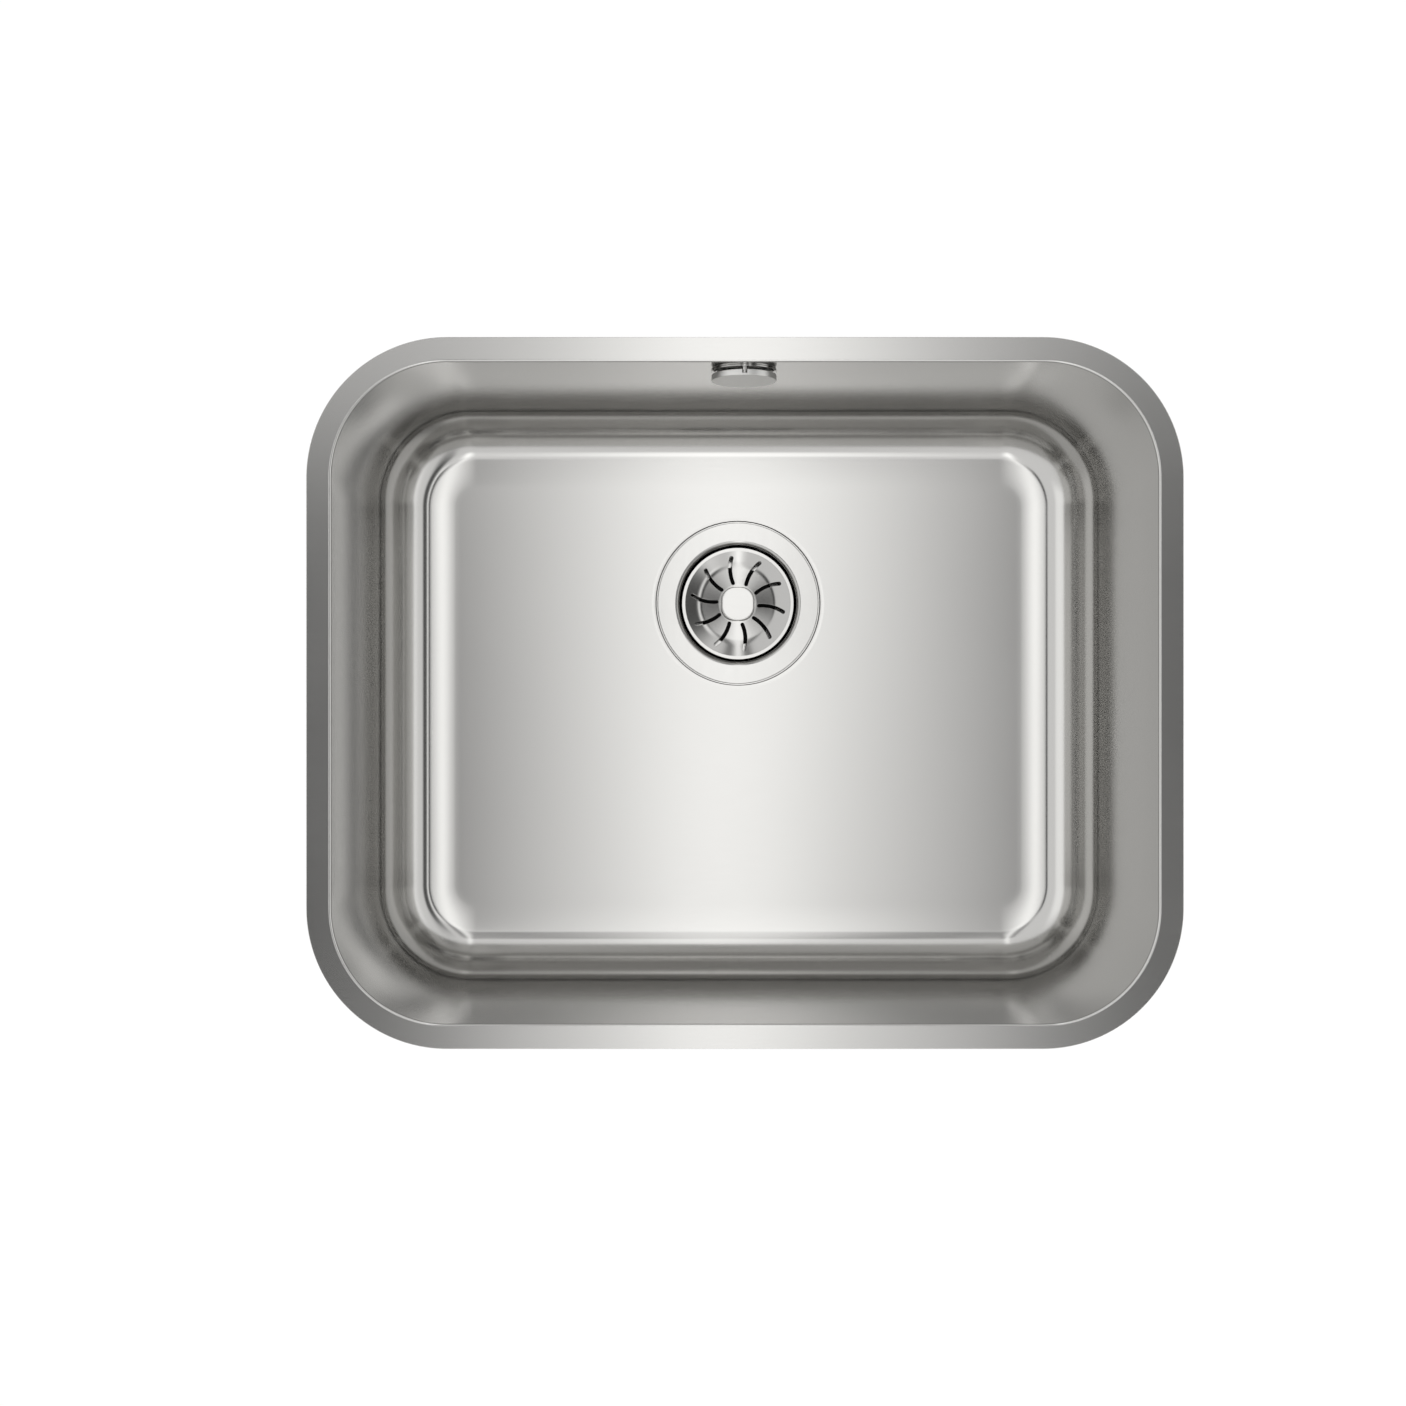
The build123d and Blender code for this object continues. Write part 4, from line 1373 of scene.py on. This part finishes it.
class SINK_OT_hose(bpy.types.Operator):
    """Blow the ribbed hose along its path and fit its clip, nut and washer"""

    bl_idname = "sink.hose"
    bl_label = "Overflow hose"

    def execute(self, context):
        s = context.scene.sink_overflow
        total, carried = hose_path(s)
        ribbed = total - 2 * s.hose_cuff
        ribs = round(ribbed / s.rib_pitch)
        # A rib is a cosine wave that is flattened at its crest and its root.
        phase = np.linspace(0, ribs, ribs * 12 + 1)
        wave = np.clip(1.5 * np.cos(2 * np.pi * (phase - 0.45)), -1, 1)
        radius = s.hose_root + (s.hose_crest - s.hose_root) * (0.5 + 0.5 * np.sin(wave * np.pi / 2))
        wavy = np.column_stack([radius, s.hose_cuff + phase * ribbed / ribs])
        cuff = s.hose_cuff_radius
        ends = [
            [(s.hose_bore, 0.3 * MM), (s.hose_bore + 0.3 * MM, 0), (cuff - 0.4 * MM, 0),
             (cuff, 0.4 * MM), (cuff, s.hose_cuff - 0.5 * MM)],
            [(cuff, total - s.hose_cuff + 0.5 * MM), (cuff, total - 0.4 * MM),
             (cuff - 0.4 * MM, total), (s.hose_bore + 0.3 * MM, total),
             (s.hose_bore, total - 0.3 * MM)],
        ]
        inner = np.linspace(total - 0.3 * MM, 0.3 * MM, 70)[1:-1]
        outline = np.concatenate(
            [ends[0], wavy[1:-1], ends[1], np.column_stack([np.full(68, s.hose_bore), inner])]
        )
        hose = turned("hose_corrugated", outline, carried, 64, sharp=60)
        dress(hose, "overflow_hose", "sink", hose_plastic(context))

        self.clip(context, s)
        self.union(context, s)
        low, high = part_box("hose_cone_washer")
        radius = (high.x - low.x) / 2
        start, end = low.y, high.y
        bore = cuff + FIT
        outline = section(
            22,
            (bore, start, 0.1 * MM),
            (radius, start, 0.2 * MM),
            (radius, start + 1.2 * MM, 0.2 * MM),
            (bore + 1 * MM, end, 0.3 * MM),
            (bore, end, 0.1 * MM),
        )
        washer = turned("cone_washer_ring", outline, about_branch, 96)
        dress(washer, "hose_cone_washer", "sink", rubber(context))
        return {"FINISHED"}

    def clip(self, context, s):
        """The clip: a band with a worm housing beside it and a slotted hexagon head."""
        low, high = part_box("hose_clip")
        inner = s.hose_cuff_radius + FIT
        outer = inner + s.clip_band
        outline = tube(inner, outer, low.z, high.z, 0.2 * MM)
        clip = turned("hose_clip_band", outline, about_hose)
        middle_z = (low.z + high.z) / 2
        slot_total, slot_start, slot_step, slot_depth = 22, 60, 11, 0.35 * MM
        slots = []
        for i in range(slot_total):
            turn = math.radians(slot_start + i * slot_step)

            def around(points, turn=turn):
                cos, sin = math.cos(turn), math.sin(turn)
                x, y, z = np.moveaxis(points, -1, 0)
                return about_hose(np.stack([z * cos - x * sin, z * sin + x * cos, y], -1))

            loop = rectangle(1.0 * MM, 5 * MM, 0.4 * MM, (0.0, middle_z))
            slots.append(prism(f"slot_{i}", loop, outer - slot_depth, outer + MM, around))
        combined(clip, slots)
        house_x = outer + s.clip_house / 2
        loop = rectangle(
            s.clip_house + s.clip_band, s.clip_house, s.clip_band, (house_x, 0.0)
        )
        house = prism("clip_house", loop, low.z, high.z, about_hose, 0.5 * MM)

        def along_y(points):
            x, y, z = np.moveaxis(points, -1, 0)
            return about_hose(np.stack([house_x + x, z, middle_z + y], -1))

        head_radius, worm_end, head_end = 2.8 * MM, 7 * MM, -7 * MM
        worm_radius, worm_start = head_radius * 0.85, head_end + 2 * MM
        outline = section(
            22,
            (0, worm_start),
            (worm_radius, worm_start, 0.3 * MM),
            (worm_radius, worm_end, 0.3 * MM),
            (0, worm_end),
        )
        worm = turned("worm", outline, along_y, 40)
        # The flats of a hexagon lie root 3 times the corners' radius apart.
        loop = hexagon(head_radius * 1.73, 0.6 * MM)
        head = prism("worm_head", loop, head_end, -3.2 * MM, along_y, 0.4 * MM)
        loop = rectangle(3 * head_radius, 0.9 * MM)
        slot = prism("head_slot", loop, head_end - MM, head_end + MM, along_y)
        combined(head, [slot])
        joined(clip, [house, worm, head])
        dress(clip, "hose_clip", "sink", turned_steel(context))

    def union(self, context, s):
        """The union nut: a turned cap whose side swells into ribs at even turns."""
        low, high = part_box("hose_union_nut")
        start, end = low.y, high.y
        body = s.union_radius
        bore = context.scene.sink_waste.branch_radius + FIT
        outline = section(
            15,
            (bore, start, 0.3 * MM),
            (body, start, 0.8 * MM),
            (body, end, 1 * MM),
            (s.hose_crest, end, 0.4 * MM),
            (s.hose_crest, end - s.union_lip, 0.2 * MM),
            (bore, end - s.union_lip, 0.2 * MM),
        )
        outline = divided(outline, 2.5 * MM, True, lambda r, d: abs(r - body) < 1e-5)

        def ribbed(points):
            x, y, d = np.moveaxis(points, -1, 0)
            reach = np.hypot(x, y)
            turn = np.arctan2(y, x) * s.union_ribs / (2 * np.pi)
            near = (turn - np.round(turn)) * 2 * np.pi / s.union_ribs * body
            swell = np.sqrt(np.clip(s.union_rib**2 - near**2, 0, None))
            inside = np.clip((reach - body + 0.9 * MM) / (0.9 * MM), 0, 1)
            scale = 1 + swell * inside / reach
            return about_branch(np.stack([x * scale, y * scale, d], -1))

        nut = turned("union_nut_moulded", outline, ribbed, 24 * s.union_ribs)
        dress(nut, "hose_union_nut", "sink", moulded(context, "nut_plastic"))


# ---- materials -------------------------------------------------------------------


class Value:
    """A shader socket with arithmetic, so that sums are written as Python."""

    def __init__(self, shader, socket):
        self.shader = shader
        self.socket = socket

    def _math(self, operation, *others):
        node = self.shader.node("ShaderNodeMath", {"operation": operation}, others)
        return Value(self.shader, node.outputs[0])

    def __add__(self, other):
        return self._math("ADD", self, other)

    __radd__ = __add__

    def __mul__(self, other):
        return self._math("MULTIPLY", self, other)

    __rmul__ = __mul__

    def __sub__(self, other):
        return self._math("SUBTRACT", self, other)

    def __rsub__(self, other):
        return self._math("SUBTRACT", other, self)

    def __abs__(self):
        return self._math("ABSOLUTE", self)

    def above(self, low, high):
        """A smooth step from 0 at low to 1 at high."""
        settings = {"interpolation_type": "SMOOTHSTEP"}
        node = self.shader.node(
            "ShaderNodeMapRange", settings, {"Value": self, "From Min": low, "From Max": high}
        )
        return Value(self.shader, node.outputs[0])


class Shader:
    """The node tree of one material or world."""

    def __init__(self, owner):
        owner.use_nodes = True
        self.tree = owner.node_tree
        self.tree.nodes.clear()

    def node(self, kind, settings=None, values=None):
        """Adds a node: its settings first, then the values or links of its sockets."""
        node = self.tree.nodes.new(kind)
        for key, value in (settings or {}).items():
            setattr(node, key, value)
        pairs = values.items() if isinstance(values, dict) else enumerate(values or ())
        for key, value in pairs:
            if isinstance(value, Value):
                self.tree.links.new(value.socket, node.inputs[key])
            else:
                node.inputs[key].default_value = value
        return node

    def out(self, node, name=0):
        """A node's output as a Value."""
        return Value(self, node.outputs[name])

    def coordinates(self, kind="Object"):
        """The place on the piece, or the direction where the world asks for Generated."""
        return self.out(self.node("ShaderNodeTexCoord"), kind)

    def vector_math(self, operation, first, second, name=0):
        """Arithmetic on two vectors."""
        node = self.node("ShaderNodeVectorMath", {"operation": operation}, {0: first, 1: second})
        return self.out(node, name)

    def stretched(self, vector, scale):
        """A vector scaled by three numbers."""
        return self.vector_math("MULTIPLY", vector, scale)

    def parts(self, vector):
        """The three numbers of a vector."""
        node = self.node("ShaderNodeSeparateXYZ", None, {0: vector})
        return [self.out(node, i) for i in range(3)]

    def noise(self, vector, scale, detail, roughness=0.5):
        """A soft pattern from 0 to 1."""
        return self.out(
            self.node(
                "ShaderNodeTexNoise",
                None,
                {"Vector": vector, "Scale": scale, "Detail": detail, "Roughness": roughness},
            ),
            "Fac",
        )

    def tint(self, factor, first, second):
        """A colour between two colours."""
        node = self.node("ShaderNodeMix", {"data_type": "RGBA"}, {0: factor})
        for key, value in ((6, first), (7, second)):
            if isinstance(value, Value):
                self.tree.links.new(value.socket, node.inputs[key])
            else:
                node.inputs[key].default_value = (*value, 1.0)
        return Value(self, node.outputs[2])

    def bump(self, height, strength, distance):
        """A normal tilted by a height."""
        return self.out(
            self.node(
                "ShaderNodeBump", None,
                {"Height": height, "Strength": strength, "Distance": distance},
            ),
            "Normal",
        )

    def surface(self, **values):
        """A Principled surface, joined to the output. Underscores stand for spaces."""
        named = {key.replace("_", " "): value for key, value in values.items()}
        surface = self.node("ShaderNodeBsdfPrincipled", None, named)
        self.node("ShaderNodeOutputMaterial", None, {"Surface": self.out(surface)})


def shaded(tone, factor):
    """A colour made lighter or darker."""
    return tuple(channel * factor for channel in tone)


def material(name, build):
    """The material of that name, built once."""
    found = bpy.data.materials.get(name)
    if found is None:
        found = bpy.data.materials.new(name)
        build(Shader(found))
    return found


def satin_steel(context):
    """Satin stainless steel: fine grain along the brushing, faint cloudiness."""
    f = context.scene.sink_finishes

    def build(shader):
        place = shader.coordinates()
        grain = shader.noise(shader.stretched(place, (40, 2600, 2600)), 1.0, 3.0, 0.6)
        cloud = shader.noise(place, 9.0, 2.0)
        shader.surface(
            Base_Color=shader.tint(cloud, shaded(f.steel, 0.985), shaded(f.steel, 1.015)),
            Metallic=1.0,
            Roughness=f.satin + (grain - 0.5) * 0.03 + (cloud - 0.5) * 0.02,
        )

    return material("satin_steel", build)


def polished_steel(context):
    """Polished stainless steel with faint wipe marks in its gloss."""
    f = context.scene.sink_finishes

    def build(shader):
        place = shader.coordinates()
        wipe = shader.noise(shader.stretched(place, (300, 90, 300)), 1.0, 3.0, 0.6)
        cloud = shader.noise(place, 60.0, 2.0)
        shader.surface(
            Base_Color=shader.tint(cloud, shaded(f.steel, 0.89), shaded(f.steel, 0.92)),
            Metallic=1.0,
            Roughness=f.polish + (wipe - 0.5) * 0.03,
        )

    return material("polished_steel", build)


def cover_steel(context, place, front):
    """The cover's steel: its face is satin and its edge polished."""
    f = context.scene.sink_finishes
    origin, out = place(np.zeros(3)), place(np.array([0.0, 0.0, 1.0]))
    normal = tuple(float(v) for v in out - origin)

    def build(shader):
        local = shader.vector_math(
            "SUBTRACT", shader.coordinates(), tuple(float(v) for v in origin)
        )
        height = shader.vector_math("DOT_PRODUCT", local, normal, "Value")
        face = height.above(front - 0.2 * MM, front - 0.05 * MM)
        grain = shader.noise(shader.stretched(local, (200, 5200, 5200)), 1.0, 3.0, 0.6)
        shader.surface(
            Base_Color=shader.tint(grain, shaded(f.steel, 0.97), shaded(f.steel, 1.03)),
            Metallic=1.0,
            Roughness=0.07 + face * (f.satin + 0.02) + (grain - 0.5) * 0.04,
        )

    return material("cover_steel", build)


def turned_steel(context):
    """Machined steel: fine turning marks in its height and gloss."""
    f = context.scene.sink_finishes

    def build(shader):
        place = shader.coordinates()
        marks = shader.noise(shader.stretched(place, (60, 60, 4200)), 1.0, 2.0, 0.7)
        shader.surface(
            Base_Color=shader.tint(marks, shaded(f.steel, 0.88), f.steel),
            Metallic=1.0,
            Roughness=0.24 + marks * 0.1,
            Normal=shader.bump(marks, 0.15, 0.05 * MM),
        )

    return material("turned_steel", build)


def turned_brass(context):
    """Machined brass with the same kind of marks and a trace of tarnish."""
    f = context.scene.sink_finishes

    def build(shader):
        place = shader.coordinates()
        marks = shader.noise(shader.stretched(place, (60, 60, 3200)), 1.0, 2.0, 0.7)
        tarnish = shader.noise(place, 120.0, 4.0, 0.6).above(0.45, 0.75)
        shader.surface(
            Base_Color=shader.tint(tarnish, tuple(f.brass), shaded(f.brass, 0.72)),
            Metallic=1.0,
            Roughness=0.26 + marks * 0.1 + tarnish * 0.1,
            Normal=shader.bump(marks, 0.15, 0.05 * MM),
        )

    return material("turned_brass", build)


def rubber(context):
    """Black rubber: a dull skin with faint bloom and fine pits."""
    f = context.scene.sink_finishes

    def build(shader):
        place = shader.coordinates()
        bloom = shader.noise(place, 70.0, 3.0, 0.6)
        pits = shader.noise(place, 2400.0, 2.0)
        shader.surface(
            Base_Color=shader.tint(bloom.above(0.35, 0.8), tuple(f.rubber), shaded(f.rubber, 2.2)),
            Roughness=0.5 + bloom * 0.15,
            Normal=shader.bump(pits, 0.25, 0.05 * MM),
        )

    return material("seal_rubber", build)


def bitumen(context):
    """Bitumen felt: a grainy, dull sheet with paler smears."""
    f = context.scene.sink_finishes

    def build(shader):
        place = shader.coordinates()
        grain = shader.noise(place, 900.0, 4.0, 0.65)
        smear = shader.noise(place, 14.0, 3.0)
        shader.surface(
            Base_Color=shader.tint(
                grain * 0.6 + smear * 0.4, shaded(f.pad, 0.72), shaded(f.pad, 1.35)
            ),
            Roughness=0.66 + (grain - 0.5) * 0.2,
            Normal=shader.bump(grain, 0.55, 0.25 * MM),
        )

    return material("bitumen_felt", build)


def moulded(context, kind):
    """Moulded polypropylene: a fine spark-eroded texture and slow flow shading."""
    f = context.scene.sink_finishes
    tone = tuple(f.plastic if kind == "waste_plastic" else f.nut)

    def build(shader):
        place = shader.coordinates()
        flow = shader.noise(shader.stretched(place, (18, 18, 7)), 1.0, 2.0)
        texture = shader.noise(place, 1700.0, 2.0)
        shader.surface(
            Base_Color=shader.tint(flow, shaded(tone, 0.95), shaded(tone, 1.04)),
            Roughness=0.4 + (texture - 0.5) * 0.12,
            Normal=shader.bump(texture, 0.12, 0.05 * MM),
        )

    return material(kind, build)


def hose_plastic(context):
    """Blown polyethylene: slightly glossy, its tone drifting slowly."""
    f = context.scene.sink_finishes

    def build(shader):
        place = shader.coordinates()
        flow = shader.noise(place, 40.0, 3.0)
        texture = shader.noise(place, 1200.0, 2.0)
        shader.surface(
            Base_Color=shader.tint(flow, shaded(f.hose, 0.93), shaded(f.hose, 1.05)),
            Roughness=0.34 + (texture - 0.5) * 0.1,
            Normal=shader.bump(texture, 0.1, 0.05 * MM),
        )

    return material("hose_plastic", build)


# ---- stage -----------------------------------------------------------------------


class SINK_OT_stage(bpy.types.Operator):
    """Set the camera, the pale floor and the soft studio light"""

    bl_idname = "sink.stage"
    bl_label = "Stage"

    # The studio's panels, far away and one before another: the bearings of the middle
    # across and along from the zenith, half widths, soft edges (degrees), radiance.
    PANELS = (
        ("box_left", (-60.0, 12.0), (8.0, 38.0), (4.0, 14.0), 1.5),
        ("panel_right", (74.0, 3.0), (12.0, 60.0), (6.0, 20.0), 1.5),
        ("fill_right", (18.0, -2.0), (5.0, 20.0), (2.5, 6.0), 1.7),
        ("flag_right_far", (34.0, -8.0), (10.0, 50.0), (6.0, 25.0), 0.12),
        ("flag_left", (-9.5, -3.0), (4.0, 11.0), (2.5, 5.0), 0.06),
        ("flag_right", (12.5, -2.0), (4.5, 13.0), (3.5, 5.0), 0.06),
        ("flag_back", (1.3, 31.0), (9.0, 18.0), (2.5, 4.0), 0.25),
        ("strip_front", (1.3, -37.0), (4.5, 10.0), (2.5, 5.0), 2.0),
        ("strip_above", (0.8, -20.0), (1.3, 26.0), (1.8, 12.0), 2.5),
        ("strip_back", (1.1, 45.0), (2.2, 45.0), (3.3, 10.0), 2.4),
    )

    def execute(self, context):
        scene = context.scene
        s = scene.sink_stage
        data = bpy.data.cameras.new("camera")
        data.sensor_width = 36.0
        data.sensor_fit = "HORIZONTAL"
        data.lens = data.sensor_width * s.camera_height / s.frame_width
        data.shift_x = -s.axis_right / PHOTO_PIXELS
        data.shift_y = s.axis_down / PHOTO_PIXELS
        data.clip_end = 20.0
        camera = bpy.data.objects.new("camera", data)
        camera.location = (s.camera_x, s.camera_y, s.camera_height)
        scene.collection.objects.link(camera)
        scene.camera = camera

        half = 6.0
        corners = np.array([[-half, -half], [half, -half], [half, half], [-half, half]])
        floor = make_mesh(
            "floor",
            np.column_stack([corners, np.full(4, -s.floor_drop)]),
            np.array([[0, 1, 2, 3]]),
        )
        floor.data.materials.append(self.floor_finish())
        self.light(scene, s)
        scene.view_settings.view_transform = "Standard"
        return {"FINISHED"}

    def light(self, scene, s):
        """The world: an even room with soft boxes and black flags, plain white to the camera."""
        world = bpy.data.worlds.new("studio")
        scene.world = world
        shader = Shader(world)
        x, y, z = shader.parts(shader.coordinates("Generated"))
        to_degrees = 180 / math.pi
        arc = {"operation": "ARCTAN2"}
        across = shader.out(shader.node("ShaderNodeMath", arc, (x, z))) * to_degrees
        along = shader.out(shader.node("ShaderNodeMath", arc, (y, z))) * to_degrees
        glow = s.room
        for _, middles, halves, edges, radiance in self.PANELS:
            cover = 1.0
            for bearing, centre, half, edge in zip((across, along), middles, halves, edges):
                cover = abs(bearing - centre).above(half + edge, half - edge) * cover
            glow = cover * radiance + (1 - cover) * glow
        path = shader.node("ShaderNodeLightPath")
        seen = shader.out(path, "Is Camera Ray")
        background = shader.node(
            "ShaderNodeBackground",
            None,
            {"Color": (1.0, 1.0, 1.0, 1.0), "Strength": glow * (1 - seen) + seen},
        )
        shader.node("ShaderNodeOutputWorld", None, {"Surface": shader.out(background)})

    def floor_finish(self):
        """A pale floor that shows plain white to the camera, less the sink's shadow."""

        def build(shader):
            seen = shader.out(shader.node("ShaderNodeLightPath"), "Is Camera Ray")
            glow = shader.node(
                "ShaderNodeEmission", None, {"Color": (1.0, 1.0, 1.0, 1.0), "Strength": 1.02}
            )
            plain = shader.node("ShaderNodeBsdfDiffuse", None, {"Color": (0.98, 0.98, 0.98, 1.0)})
            mixed = shader.node(
                "ShaderNodeMixShader",
                None,
                {0: seen * 0.95, 1: shader.out(plain), 2: shader.out(glow)},
            )
            shader.node("ShaderNodeOutputMaterial", None, {"Surface": shader.out(mixed)})

        return material("backdrop", build)


OPERATORS = (
    SINK_OT_stage,
    SINK_OT_bowl,
    SINK_OT_sound_pads,
    SINK_OT_cup,
    SINK_OT_waste_body,
    SINK_OT_hollow_screw,
    SINK_OT_basket,
    SINK_OT_knob,
    SINK_OT_plug,
    SINK_OT_overflow_cover,
    SINK_OT_elbow,
    SINK_OT_hose,
)
GROUPS = {
    "sink_bowl": BowlSizes,
    "sink_waste": WasteSizes,
    "sink_basket": BasketSizes,
    "sink_overflow": OverflowSizes,
    "sink_finishes": Finishes,
    "sink_stage": StageValues,
}


class SINK_PT_panel(bpy.types.Panel):
    """Lists the pieces in the order in which they are made, with their sizes"""

    bl_idname = "SINK_PT_panel"
    bl_label = "Sink"
    bl_space_type = "VIEW_3D"
    bl_region_type = "UI"
    bl_category = "Sink"

    def draw(self, context):
        for operator in OPERATORS:
            self.layout.operator(operator.bl_idname)
        for name, group in GROUPS.items():
            box = self.layout.box()
            for key in group.__annotations__:
                box.prop(getattr(context.scene, name), key)


def register():
    """Registers the sizes, the operators and the panel."""
    for name, group in GROUPS.items():
        bpy.utils.register_class(group)
        setattr(bpy.types.Scene, name, bpy.props.PointerProperty(type=group))
    for operator in OPERATORS:
        bpy.utils.register_class(operator)
    bpy.utils.register_class(SINK_PT_panel)


def unregister():
    """Takes them back out, in reverse order."""
    bpy.utils.unregister_class(SINK_PT_panel)
    for operator in reversed(OPERATORS):
        bpy.utils.unregister_class(operator)
    for name in reversed(GROUPS):
        delattr(bpy.types.Scene, name)
        bpy.utils.unregister_class(GROUPS[name])


def main():
    register()
    for operator in OPERATORS:
        getattr(bpy.ops.sink, operator.bl_idname.split(".")[1])()


if __name__ == "__main__":
    main()
